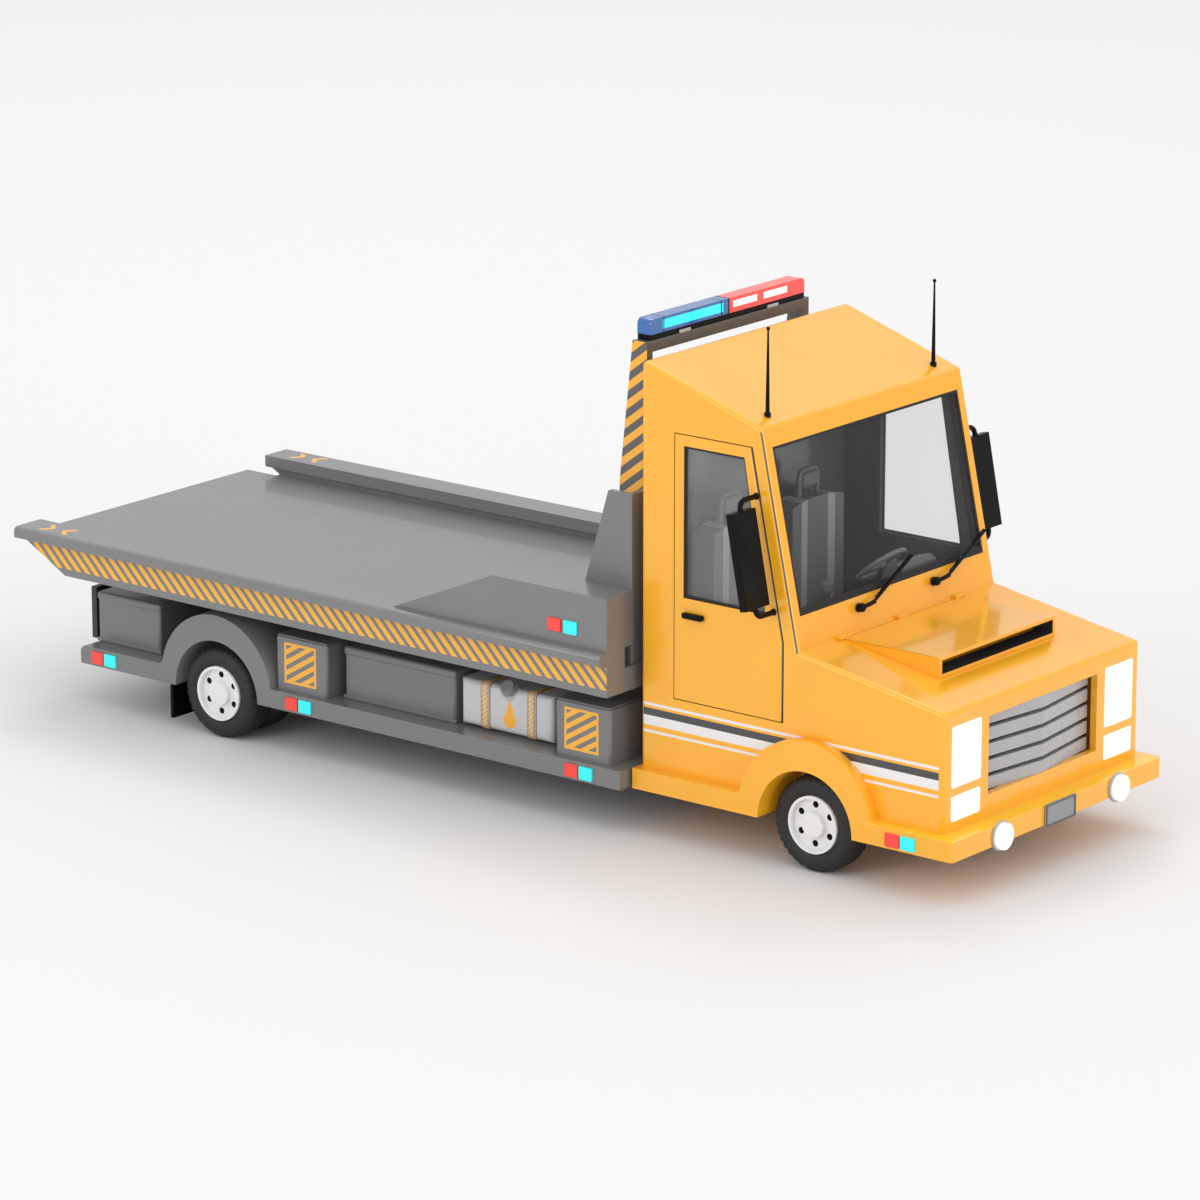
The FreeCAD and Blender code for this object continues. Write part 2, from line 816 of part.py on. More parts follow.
def cab_base():
    """Yellow lower body: floor, bumper, skirt, wheel liners and arch flares."""
    body = new_body("cab_base")
    low = ("cab_rear", "-cab_low_half", "cab_low_bottom")
    block(body, low, ("bumper_front", "cab_low_half", "cab_low_top"))
    def is_corner(edge):
        return runs_along(edge, 2) and is_near(middle(edge).x, "bumper_front")
    soften(body, "bumper_corner", is_corner)
    low = ("cab_rear + cab_wall", "-cab_low_half + cab_wall", "cab_low_bottom")
    high = ("bumper_rear", "cab_low_half - cab_wall", "frame_low_top")
    block(body, low, high, cut=True)
    for _, side in SIDES:
        low, high = span(side, "front_well_inner - cab_wall", "cab_half")
        liner = [("front_axle_x", "tyre_radius", "tyre_radius + liner_gap")]
        extrude(body, "XZ_Plane", liner, low, high)
        low, high = span(side, "cab_half", "cab_low_half")
        flare = [("front_axle_x", "tyre_radius + flare_rise", "tyre_radius + flare_gap")]
        extrude(body, "XZ_Plane", flare, low, high)
        blend_arch(body, "cab_low_top", "cab_half", "cab_low_half", side)
        low, high = span(side, "front_well_inner", "cab_low_half")
        well = [("front_axle_x", "tyre_radius", "tyre_radius + front_well_clearance")]
        extrude(body, "XZ_Plane", well, low, high, cut=True)
    below_low = ("cab_rear", "-cab_low_half", "-(tyre_radius + flare_gap)")
    block(body, below_low, ("bumper_front", "cab_low_half", "cab_low_bottom"), cut=True)
    bore = [("front_axle_x", "tyre_radius", "axle_radius + axle_clearance")]
    extrude(body, "XZ_Plane", bore, "-front_well_inner", "front_well_inner", cut=True)
    low = ("cab_rear", "-frame_half", "0")
    block(body, low, ("front_axle_x + (tyre_radius + liner_gap)", "frame_half", "frame_low_top"), cut=True)


def blend_arch(body, ledge, inner, outer, side, limit="bumper_front"):
    """Rounds the hollow corners, up to an X limit, where a wheel arch rises from its ledge."""
    def is_foot(edge):
        if not runs_along(edge, 1) or not is_near(middle(edge).z, ledge):
            return False
        place = middle(edge).y * side
        is_between = value(inner) + TINY < place < value(outer)
        return is_between and middle(edge).x < value(limit)
    soften(body, "arch_blend", is_foot)


def screen_x(height):
    """X of the screen's outer plane at a height."""
    lean = "(cowl_x - roof_front_x) / (roof_front_z - cowl_z)"
    return f"(cowl_x - ({height} - cowl_z) * {lean})"


def hood_z(station):
    """Height of the hood's surface at an X station."""
    slope = "(cowl_z - hood_front_z) / (cab_front - cowl_x)"
    return f"(cowl_z - ({station} - cowl_x) * {slope})"


def door_outline(grow):
    return [
        (f"door_rear - {grow}", f"door_bottom - {grow}"),
        (f"door_front + {grow}", f"door_bottom - {grow}"),
        (f"door_front + {grow}", "door_kink_z"),
        (f"door_top_front + {grow}", f"(roof_front_z - door_drop) + {grow}"),
        (f"door_rear - {grow}", f"(roof_front_z - door_drop) + {grow}"),
    ]


def hinge_circle(side, grow):
    """A door's hinge pin seen from above, or its bore when grown by a clearance."""
    return ("hinge_x", f"{side} * (cab_half - hinge_depth)", f"hinge_radius + {grow}")


def is_hinge_edge(edge, grow):
    """The outer front edges, upright and leaning, of a door or of its opening."""
    place = middle(edge)
    if not is_near(abs(place.y), "cab_half") or place.x < value("door_top_front"):
        return False
    is_upright = runs_along(edge, 2) and is_near(place.x, f"door_front + {grow}")
    is_leaning = is_near(place.x, f"(door_front + door_top_front) / 2 + {grow}")
    return is_upright or is_leaning


def window_outline():
    return [
        ("window_rear", "window_low"),
        ("window_front", "window_low"),
        ("window_top_front", "roof_front_z - window_drop"),
        ("window_rear", "roof_front_z - window_drop"),
    ]


def cab_shell():
    """Hollow upper cab with screen, door, grille and lamp openings."""
    body = new_body("cab_block")
    pieces.remove(body)
    outside = [
        ("cab_rear", "cab_low_top"),
        ("cab_front", "cab_low_top"),
        ("cab_front", "hood_front_z"),
        ("cowl_x", "cowl_z"),
        ("roof_front_x", "roof_front_z"),
        ("cab_rear", "roof_front_z + roof_rise"),
    ]
    extrude(body, "XZ_Plane", [outside], "-cab_half", "cab_half")
    def is_outer_edge(edge):
        return middle(edge).z > value("cab_low_top + 1") and not is_near(middle(edge).z, "cowl_z")
    soften(body, "cab_edge", is_outer_edge)
    inside = [
        ("cab_rear + cab_wall", "cab_low_top - 1"),
        ("cab_front - cab_wall", "cab_low_top - 1"),
        ("cab_front - cab_wall", "hood_front_z - cab_wall"),
        ("cowl_x - cab_wall", "cowl_z - cab_wall"),
        ("roof_front_x - cab_wall", "roof_front_z - cab_wall"),
        ("cab_rear + cab_wall", "(roof_front_z + roof_rise) - cab_wall"),
    ]
    half = "cab_half - cab_wall"
    extrude(body, "XZ_Plane", [inside], f"-({half})", half, cut=True)
    opening = rectangle("-screen_half", "screen_low", "screen_half", "roof_front_z - screen_drop")
    extrude(body, "YZ_Plane", [opening], "window_rear", "cab_front", cut=True)
    extrude(body, "XZ_Plane", [door_outline("door_gap")], "-cab_half", "cab_half", cut=True)
    soften(body, "jamb_round", lambda edge: is_hinge_edge(edge, "door_gap"))
    bores = [hinge_circle(side, "running_gap") for _, side in SIDES]
    extrude(body, "XY_Plane", bores, "hinge_low - body_gap", "hinge_high + body_gap", cut=True)
    cut_front_openings(body)
    for _, side in SIDES:
        low, high = span(side, half, "cab_half")
        arch = [("front_axle_x", "tyre_radius", "tyre_radius + liner_gap")]
        extrude(body, "XZ_Plane", arch, low, high, cut=True)
    drill_wiper_holes(body)


def cut_front_openings(body):
    openings = [rectangle("-grille_half", "grille_low", "grille_half", "grille_high")]
    for _, side in SIDES:
        low, high = span(side, "lamp_inner", "lamp_outer")
        openings.append(rectangle(low, "lamp_high_low", high, "lamp_high_top"))
        openings.append(rectangle(low, "lamp_low_low", high, "lamp_low_top"))
    extrude(body, "YZ_Plane", openings, "cab_front - cab_wall", "cab_front + 1", cut=True)


def screen_normal():
    lean = value("(cowl_x - roof_front_x) / (roof_front_z - cowl_z)")
    length = math.hypot(1, lean)
    return 1 / length, 0, lean / length


def drill_wiper_holes(body):
    """Spindle bores through the cowl, square to the screen's plane."""
    normal = screen_normal()
    base = body
    for name, side in SIDES:
        centre = (screen_x("wiper_z"), f"{side} * wiper_y", "wiper_z")
        place = [f"{text} - spindle_bore / 2 * {part}" for text, part in zip(centre, normal)]
        bore_radius = "spindle_radius + running_gap"
        bore = tilted_cylinder(f"wiper_bore_{name}", bore_radius, "spindle_bore", place, normal)
        if side > 0:
            base = combine("cab_drilled", "Part::Cut", base, bore)
        else:
            finish_boolean("cab_shell", "Part::Cut", base, bore)


def windscreen():
    glass = new_body("windscreen")
    low, high = "screen_low", "roof_front_z - screen_drop"
    front = "glass_recess"
    back = "(glass_recess + glass_thick)"
    outline = [
        (f"{screen_x(low)} - {back}", low),
        (f"{screen_x(low)} - {front}", low),
        (f"{screen_x(high)} - {front}", high),
        (f"{screen_x(high)} - {back}", high),
    ]
    extrude(glass, "XZ_Plane", [outline], "-screen_half", "screen_half")


def front_end():
    grille()
    lamps = new_group("headlights")
    for name, side in SIDES:
        low, high = span(side, "lamp_inner", "lamp_outer")
        for level in ("high", "low"):
            body = member(lamps, f"{level}_{name}")
            corner = ("cab_front - cab_wall", low, f"lamp_{level}_low")
            block(body, corner, ("cab_front + lamp_proud", high, f"lamp_{level}_top"))
    fogs = new_group("fog_lamps")
    for name, side in SIDES:
        body = member(fogs, name)
        lens = [(f"{side} * fog_y", "fog_z", "fog_radius")]
        extrude(body, "YZ_Plane", lens, "bumper_front", "bumper_front + fog_proud")
    plate = new_body("front_plate")
    low = ("bumper_front", "-plate_half", "plate_low")
    block(plate, low, ("bumper_front + plate_proud", "plate_half", "cab_low_top"))


def grille():
    """Five slats bent into a shallow vee in plan, standing on a back plate."""
    body = new_body("grille")
    back = "cab_front - grille_depth - grille_back"
    low = (back, "-grille_half", "grille_low")
    block(body, low, ("cab_front - grille_depth", "grille_half", "grille_high"))
    slat = [
        ("cab_front - grille_depth", "-grille_half"),
        ("cab_front - grille_depth + slat_tip", "-grille_half"),
        ("cab_front", "0"),
        ("cab_front - grille_depth + slat_tip", "grille_half"),
        ("cab_front - grille_depth", "grille_half"),
    ]
    pitch = "(grille_high - grille_low - slat_height) / (slat_count - 1)"
    for step in range(round(value("slat_count"))):
        base = f"grille_low + {step} * {pitch}"
        extrude(body, "XY_Plane", [slat], base, f"{base} + slat_height")


def hood_scoop():
    """Wedge on the hood with a slot-shaped mouth in its front face."""
    body = new_body("hood_scoop")
    outline = [
        ("scoop_rear", hood_z("scoop_rear")),
        ("scoop_front", hood_z("scoop_front")),
        ("scoop_front", "scoop_top"),
        ("scoop_rear", "cowl_z"),
    ]
    extrude(body, "XZ_Plane", [outline], "-scoop_half", "scoop_half")
    floor = hood_z("scoop_front")
    across = "scoop_half - scoop_border"
    mouth = rectangle(f"-({across})", f"{floor} + scoop_border", across, "scoop_top - scoop_border")
    extrude(body, "YZ_Plane", [mouth], "scoop_front - scoop_depth", "scoop_front", cut=True)


def antennas():
    group = new_group("antennas")
    slope = "roof_rise / (roof_front_x - cab_rear)"
    roof = f"(roof_front_z + (roof_front_x - whip_x) * {slope})"
    for name, side in SIDES:
        body = member(group, name)
        foot = f"{roof} - whip_sink"
        top = "(roof_front_z + whip_rise)"
        profile = [
            ("0", foot),
            ("whip_foot_radius", foot),
            ("whip_foot_radius", f"{roof} + whip_foot_height"),
            ("whip_base_radius", f"{roof} + whip_foot_height"),
            ("whip_tip_radius", f"{top} - whip_ball_height"),
            ("whip_ball_radius", f"{top} - whip_ball_height + whip_ball_edge"),
            ("whip_ball_radius", f"{top} - whip_ball_edge"),
            ("whip_ball_edge", top),
            ("0", top),
        ]
        sketch = new_sketch(body, "XZ_Plane", "0")
        draw_outline(sketch, profile)
        turned = body.newObject("PartDesign::Revolution", f"{body.Name}_Revolution")
        turned.Profile = sketch
        turned.ReferenceAxis = (sketch, ["V_Axis"])
        turned.Angle = 360
        sized(body, **{"Placement.Base.x": "whip_x", "Placement.Base.y": f"{side} * whip_y"})


def interior():
    for name, side in SIDES:
        seat(name, side)
    dashboard()
    lever = new_body("gear_lever")
    extrude(lever, "XY_Plane", [("lever_x", "0", "lever_radius")], "cab_low_top", "lever_top")
    knob = [("lever_x", "0", "lever_knob")]
    extrude(lever, "XY_Plane", knob, "lever_top - knob_low", "lever_top + knob_high")
    def is_knob(edge):
        return edge.Curve.TypeId == "Part::GeomCircle" and is_near(edge.Curve.Radius, "lever_knob")
    soften(lever, "lever_knob / 2", is_knob)
    extrude(lever, "XY_Plane", [("lever_x", "0", "lever_boot")], "cab_low_top", "cab_low_top + boot_height")


def seat(name, side):
    body = new_body(f"seat_{name}")
    low, high = span(side, "seat_y - seat_half", "seat_y + seat_half")
    profile = [
        ("seat_back_x", "cab_low_top"),
        ("seat_cushion_front", "cab_low_top"),
        ("seat_cushion_front", "seat_cushion_top"),
        ("seat_back_front", "seat_cushion_top"),
        ("seat_back_front", "seat_back_top"),
        ("seat_back_x", "seat_back_top"),
    ]
    extrude(body, "XZ_Plane", [profile], low, high)
    soften(body, "seat_round", lambda edge: middle(edge).z > value("seat_cushion_top - seat_round"))
    low, high = span(side, "seat_y - headrest_half", "seat_y + headrest_half")
    corner = ("seat_back_front - headrest_inset", high, "headrest_top")
    block(body, ("seat_back_x + headrest_inset", low, "seat_back_top - headrest_inset"), corner)


def wheel_axis():
    tilt = math.radians(value("wheel_tilt"))
    return -math.cos(tilt), 0, math.sin(tilt)


def wheel_rotation():
    """Local Z points from the dashboard to the driver."""
    z_axis = FreeCAD.Vector(*wheel_axis())
    y_axis = FreeCAD.Vector(0, 1, 0)
    return FreeCAD.Rotation(y_axis.cross(z_axis), y_axis, z_axis, "ZYX")


def place_body(body, base, rotation):
    body.Placement.Rotation = rotation
    for letter, text in zip("xyz", base):
        body.setExpression(f"Placement.Base.{letter}", bind(text))


def dashboard():
    body = new_body("dash_block")
    pieces.remove(body)
    profile = [
        ("dash_rear", "dash_low"),
        ("dash_front", "dash_low"),
        ("dash_front", "dash_top"),
        ("dash_rear + dash_bevel", "dash_top"),
        ("dash_rear", "dash_top - dash_lip"),
    ]
    extrude(body, "XZ_Plane", [profile], "-dash_half", "dash_half")
    hump = [
        ("dash_rear + dash_bevel", "dash_top - dash_overlap"),
        ("dash_front - dash_overlap", "dash_top - dash_overlap"),
        ("dash_front - hump_front", "binnacle_top - dash_overlap"),
        ("dash_front - hump_crest", "binnacle_top"),
        ("dash_rear + hump_rear", "binnacle_top - dash_overlap"),
    ]
    extrude(body, "XZ_Plane", [hump], "wheel_y - binnacle_half", "wheel_y + binnacle_half")
    low = ("dash_rear + dash_leg_rear", "-dash_leg_half", "cab_low_top")
    block(body, low, ("dash_rear + dash_leg_front", "dash_leg_half", "dash_low + dash_overlap"))
    bore = doc.addObject("Part::Cylinder", "column_bore")
    sized(bore, Radius="column_radius + running_gap", Height="column_bore_length")
    start = [f"{centre} - column_bore_start * {step}" for centre, step in zip(wheel_centre(), wheel_axis())]
    place_body(bore, start, wheel_rotation())
    finish_boolean("dashboard", "Part::Cut", body, bore)


def wheel_centre():
    return ("wheel_x", "wheel_y", "wheel_z")


def steering_wheel():
    """Ring, three spokes and hub on a column that runs in the dashboard."""
    body = new_body("steering_wheel")
    ring = [("0", "0", "wheel_ring + wheel_grip"), ("0", "0", "wheel_ring - wheel_grip")]
    extrude(body, "XY_Plane", ring, "-wheel_grip", "wheel_grip")
    extrude(body, "XY_Plane", [("0", "0", "wheel_hub")], "-hub_low", "hub_high")
    spoke = rectangle("-spoke_half", "-wheel_ring", "spoke_half", "wheel_ring")
    extrude(body, "XY_Plane", [spoke], "-spoke_low", "spoke_high")
    lower = rectangle("0", "-spoke_half", "wheel_ring", "spoke_half")
    extrude(body, "XY_Plane", [lower], "-spoke_low", "spoke_high")
    extrude(body, "XY_Plane", [("0", "0", "column_radius")], "-column_length", "0")
    place_body(body, wheel_centre(), wheel_rotation())


# --- doors, mirrors and wipers ---


def door(name, side):
    body = new_body(f"door_{name}")
    low, high = span(side, "cab_half - cab_wall", "cab_half")
    extrude(body, "XZ_Plane", [door_outline("0")], low, high)
    soften(body, "hinge_depth", lambda edge: is_hinge_edge(edge, "0"))
    extrude(body, "XZ_Plane", [window_outline()], low, high, cut=True)
    pin = [hinge_circle(side, "0")]
    extrude(body, "XY_Plane", pin, "hinge_low", "door_bottom + hinge_depth")
    extrude(body, "XY_Plane", pin, "hinge_kink", "hinge_high")
    glass = new_body(f"door_glass_{name}")
    outer_face = "cab_half - door_glass_recess"
    low, high = span(side, f"{outer_face} - door_glass_thick", outer_face)
    extrude(glass, "XZ_Plane", [window_outline()], low, high)
    handle = new_body(f"door_handle_{name}")
    low, high = span(side, "cab_half", "cab_half + handle_out")
    corner = ("handle_rear", low, "handle_z - handle_half")
    block(handle, corner, ("handle_front", high, "handle_z + handle_half"))
    mirror(name, side)


def lean_rotation():
    """Local Z runs up the mirror rod, which leans back like the screen pillar."""
    return FreeCAD.Rotation(FreeCAD.Vector(0, 1, 0), -value("mirror_lean"))


def mirror(name, side):
    centre = ("mirror_x", f"{side} * mirror_y", "roof_front_z - mirror_drop")
    bracket = new_body(f"mirror_bracket_{name}")
    extrude(bracket, "XY_Plane", [("0", "0", "rod_radius")], "-mirror_rise / 2", "mirror_rise / 2")
    low, high = span(-side, "0", "mirror_y - cab_half")
    arms = [("0", f"{end} * (mirror_rise / 2 - rod_radius)", "rod_radius") for end in (-1, 1)]
    extrude(bracket, "XZ_Plane", arms, low, high)
    place_body(bracket, centre, lean_rotation())
    plate = new_body(f"mirror_{name}")
    half = ("mirror_thick / 2", "mirror_half_width", "mirror_height / 2")
    block(plate, [f"-{text}" for text in half], list(half))
    soften(plate, "mirror_edge", lambda edge: runs_along(edge, 2))
    bore = [("0", "0", "rod_radius + running_gap")]
    extrude(plate, "XY_Plane", bore, "-mirror_height", "mirror_height", cut=True)
    place_body(plate, centre, lean_rotation())


def wiper(name, side):
    """Spindle, arm and blade in the screen's own plane."""
    body = new_body(f"wiper_{name}")
    extrude(body, "XY_Plane", [("0", "0", "spindle_radius")], "-spindle_inner", "spindle_outer")
    extrude(body, "XY_Plane", [("0", "0", "wiper_boss")], "boss_low", "boss_high")
    arm = [
        ("-wiper_half", "-wiper_half"),
        ("wiper_bend", "wiper_rise - wiper_half"),
        ("wiper_reach + wiper_half", "wiper_lift - wiper_half"),
        ("wiper_reach", "wiper_lift + wiper_half"),
        ("wiper_bend - wiper_half", "wiper_rise + wiper_half"),
        ("-wiper_half", "wiper_half"),
    ]
    extrude(body, "XY_Plane", [arm], "arm_low", "arm_high")
    start = "wiper_bend + rubber_start"
    rise = "wiper_rise + rubber_start * (wiper_lift - wiper_rise) / (wiper_reach - wiper_bend)"
    rubber = [
        (start, f"{rise} - rubber_half"),
        ("wiper_reach", "wiper_lift - rubber_half"),
        ("wiper_reach", "wiper_lift + rubber_half"),
        (start, f"{rise} + rubber_half"),
    ]
    extrude(body, "XY_Plane", [rubber], "rubber_low", "spindle_outer")
    normal = FreeCAD.Vector(*screen_normal())
    across = FreeCAD.Vector(0, 1, 0)
    turn = FreeCAD.Rotation(across, normal.cross(across), normal, "ZXY")
    place_body(body, (screen_x("wiper_z"), f"{side} * wiper_y", "wiper_z"), turn)


# --- tilting subframe, bed, headboard and light bar ---


def subframe():
    """Two channels joined by cross members, pivoted on the chassis pin at the rear."""
    body = new_body("subframe")
    low = ("rail_rear", "-rail_outer", "rail_bottom")
    block(body, low, ("rail_front", "rail_outer", "rail_top"))
    for _, side in SIDES:
        inner, outer = span(side, "rail_outer - groove_depth", "rail_outer")
        corner = ("rail_front", outer, "groove_high")
        block(body, ("rail_rear", inner, "groove_low"), corner, cut=True)
    low = ("rail_rear", "-rail_inner", "rail_bottom")
    block(body, low, ("frame_rear + bay_tail", "rail_inner", "rail_top"), cut=True)
    starts = [f"bay_start + {step} * bay_pitch" for step in range(3)]
    ends = [f"{starts[0]} + bay_length", f"{starts[1]} + bay_length", "rail_front - bay_end"]
    for start, end in zip(starts, ends):
        low = (start, "-rail_inner", "rail_bottom")
        block(body, low, (end, "rail_inner", "rail_top"), cut=True)
    bore = [("pivot_x", "pivot_z", "pin_radius + running_gap")]
    extrude(body, "XZ_Plane", bore, "-rail_outer", "rail_outer", cut=True)


def bed():
    """Deck with side rails and front fairings, ribs below and the guides that hook the subframe."""
    body = new_body("bed")
    deck = [
        ("bed_kink", "bed_low"),
        ("bed_front", "bed_low"),
        ("bed_front", "deck_top"),
        ("lip_rear", "deck_top"),
        ("lip_rear", "lip_low"),
    ]
    extrude(body, "XZ_Plane", [deck], "-bed_inner", "bed_inner")
    rail = [
        ("bed_kink", "bed_low"),
        ("bed_front", "bed_low"),
        ("bed_front", "bed_rail_top"),
        ("bed_rear", "bed_rail_top"),
        ("bed_rear", "bed_rail_low"),
    ]
    fairing = [
        ("fairing_rear", "bed_rail_top"),
        ("bed_front", "bed_rail_top"),
        ("bed_front", "fairing_top"),
        ("fairing_shoulder", "fairing_top"),
    ]
    for _, side in SIDES:
        low, high = span(side, "bed_inner", "bed_half")
        extrude(body, "XZ_Plane", [rail], low, high)
    soften(body, "bed_round", is_rail_edge)
    hollows = [
        ("bed_kink + rib_end", "(rear_axle_x + tyre_radius - rib_offset) - rib_thick / 2"),
        ("(rear_axle_x + tyre_radius - rib_offset) + rib_thick / 2", "rib_front_x - rib_thick / 2"),
        ("rib_front_x + rib_thick / 2", "bed_front - rib_end"),
    ]
    for _, side in SIDES:
        low, high = span(side, "fairing_inner", "bed_side")
        extrude(body, "XZ_Plane", [fairing], low, high)
        step = [
            (f"{side} * bed_side", "bed_low - 1"),
            (f"{side} * (bed_half + 1)", "bed_low - 1"),
            (f"{side} * (bed_half + 1)", "bed_rail_low"),
            (f"{side} * bed_half", "bed_rail_low"),
            (f"{side} * bed_side", "bed_rail_low - 1"),
        ]
        extrude(body, "YZ_Plane", [step], "lip_rear", "bed_front", cut=True)
        low, high = span(side, "bed_inner", "bed_inner + undercut")
        groove = rectangle("bed_rear", "deck_top", "fairing_rear", "undercut_top")
        extrude(body, "XZ_Plane", [groove], low, high, cut=True)
        low, high = span(side, "rail_outer + spine_margin", "bed_side - skirt_wall")
        for start, end in hollows:
            block(body, (start, low, "bed_low"), (end, high, "deck_top - deck_thick"), cut=True)
        low, high = span(side, "rail_outer + body_gap", "rail_outer + body_gap + guide_wall")
        block(body, ("rail_rear", low, "guide_low"), ("rail_front", high, "bed_low"))
        low, high = span(side, "rail_outer - groove_depth + body_gap", "rail_outer + body_gap")
        corner = ("rail_rear", low, "groove_low + body_gap")
        block(body, corner, ("rail_front", high, "groove_high - body_gap"))
    corner = ("gusset_low_x - foot_recess", "-bed_inner", foot_level())
    block(body, corner, ("bed_front", "bed_inner", "undercut_top"), cut=True)


def foot_level():
    """Floor of the shallow recess that the headboard and the portal stand in."""
    return "(deck_top - foot_recess)"


def is_rail_edge(edge):
    """The outer top edge of a bed rail."""
    if not runs_along(edge, 0):
        return False
    return is_near(middle(edge).z, "bed_rail_top") and is_near(abs(middle(edge).y), "bed_half")


def headboard():
    body = new_body("headboard")
    low = ("headboard_rear", "-headboard_half", foot_level())
    block(body, low, ("headboard_front", "headboard_half", "headboard_top"))
    gusset = [
        ("gusset_low_x", foot_level()),
        ("headboard_rear", foot_level()),
        ("headboard_rear", "headboard_top"),
        ("gusset_top_x", "headboard_top"),
        ("gusset_low_x", "gusset_z"),
    ]
    for _, side in SIDES:
        low, high = span(side, "headboard_half - gusset_thick", "headboard_half")
        extrude(body, "XZ_Plane", [gusset], low, high)


def portal_frame():
    """Goal-shaped hoop behind the cab that stands on the deck and carries the light bar."""
    body = new_body("portal_frame")
    profile = [
        ("portal_foot", foot_level()),
        ("portal_front", foot_level()),
        ("portal_front", "portal_top"),
        ("portal_rear", "portal_top"),
        ("portal_foot", "headboard_top"),
    ]
    extrude(body, "XZ_Plane", [profile], "-portal_outer", "portal_outer")
    space = rectangle("-portal_inner", foot_level(), "portal_inner", "portal_top - portal_beam")
    extrude(body, "YZ_Plane", [space], "portal_foot - 1", "portal_front + 1", cut=True)


def light_bar():
    base = new_body("light_bar_base")
    low = ("bar_rear", "-bar_half", "portal_top")
    block(base, low, ("bar_front", "bar_half", "portal_top + bar_base"))
    for name, side in (("red", 1), ("blue", -1)):
        lens = new_body(f"light_lens_{name}")
        inner, outer = span(side, "lens_gap", "bar_half")
        corner = ("bar_front", outer, "lens_top")
        block(lens, (("bar_rear"), inner, "portal_top + bar_base"), corner)
        end = f"{side} * bar_half"
        soften(lens, "lens_round", lambda edge: is_upper_end(edge, end))


def is_upper_end(edge, end):
    """The top edge of a lens at its outer end."""
    return is_near(middle(edge).y, end) and middle(edge).z > value("lens_top - body_gap")


def bed_markers():
    for colour, start in (("red", "bed_marker_x"), ("cyan", "bed_marker_x + bed_marker_pitch")):
        group = new_group(f"bed_markers_{colour}")
        for name, side in SIDES:
            marker(member(group, name), start, "bed_marker_low", side, "bed_side")


# --- build, check and write ---


def build():
    fill_sheet()
    running_gear()
    chassis_frame()
    for name, side in SIDES:
        side_skirt(name, side)
    skirt_furniture()
    tilt_pin()
    chassis_markers()
    chassis_screws()
    cab_base()
    cab_shell()
    windscreen()
    front_end()
    hood_scoop()
    antennas()
    interior()
    steering_wheel()
    for name, side in SIDES:
        door(name, side)
        wiper(name, side)
    subframe()
    bed()
    headboard()
    portal_frame()
    light_bar()
    bed_markers()
    close_groups()
    doc.recompute()


def check():
    failed = [item.Name for item in doc.Objects if {"Invalid", "Error"} & set(item.State)]
    if failed:
        raise RuntimeError(f"failed features: {failed}")
    for piece in pieces:
        if piece.Shape.isNull() or not piece.Shape.isValid() or not piece.Shape.Solids:
            raise RuntimeError(f"{piece.Label} has no valid solid")


def write():
    os.makedirs("parts", exist_ok=True)
    for piece in pieces:
        piece.Shape.exportStep(f"parts/{piece.Label}.step")
        print(piece.Label, len(piece.Shape.Solids), round(piece.Shape.Volume, 1))


build()
check()
write()
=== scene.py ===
import itertools
import json
import math

import bmesh
import bpy
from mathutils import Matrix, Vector

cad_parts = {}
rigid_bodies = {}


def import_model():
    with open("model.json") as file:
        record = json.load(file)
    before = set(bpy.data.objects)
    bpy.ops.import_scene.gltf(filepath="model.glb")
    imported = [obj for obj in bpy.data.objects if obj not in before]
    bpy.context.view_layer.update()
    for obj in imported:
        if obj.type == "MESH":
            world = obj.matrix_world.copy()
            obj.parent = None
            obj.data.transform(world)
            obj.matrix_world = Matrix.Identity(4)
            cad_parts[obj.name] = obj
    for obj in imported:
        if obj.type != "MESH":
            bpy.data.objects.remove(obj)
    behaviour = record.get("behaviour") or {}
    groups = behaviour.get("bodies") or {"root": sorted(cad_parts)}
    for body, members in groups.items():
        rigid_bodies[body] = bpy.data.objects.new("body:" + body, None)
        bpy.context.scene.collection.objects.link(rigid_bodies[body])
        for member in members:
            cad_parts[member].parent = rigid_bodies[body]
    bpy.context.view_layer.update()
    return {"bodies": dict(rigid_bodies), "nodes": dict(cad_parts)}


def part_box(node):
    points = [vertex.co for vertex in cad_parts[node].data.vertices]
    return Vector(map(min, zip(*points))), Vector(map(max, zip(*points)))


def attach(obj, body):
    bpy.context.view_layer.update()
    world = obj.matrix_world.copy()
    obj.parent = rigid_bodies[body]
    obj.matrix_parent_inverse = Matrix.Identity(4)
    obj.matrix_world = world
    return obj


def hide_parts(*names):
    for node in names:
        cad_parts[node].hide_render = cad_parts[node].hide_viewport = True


MM = 0.001

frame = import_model()

SIDES = (("left", 1), ("right", -1))

# The moulded plastic's unevenness: noise scales per millimetre, and the height of its grain.
TONE_SCALE, GLOSS_SCALE, GRAIN_SCALE = 0.05, 0.3, 3.0
GLOSS_DRIFT = 0.15
GRAIN_HEIGHT = 0.2
COAT_ROUGHNESS = 0.06


# --- node graph helpers ---


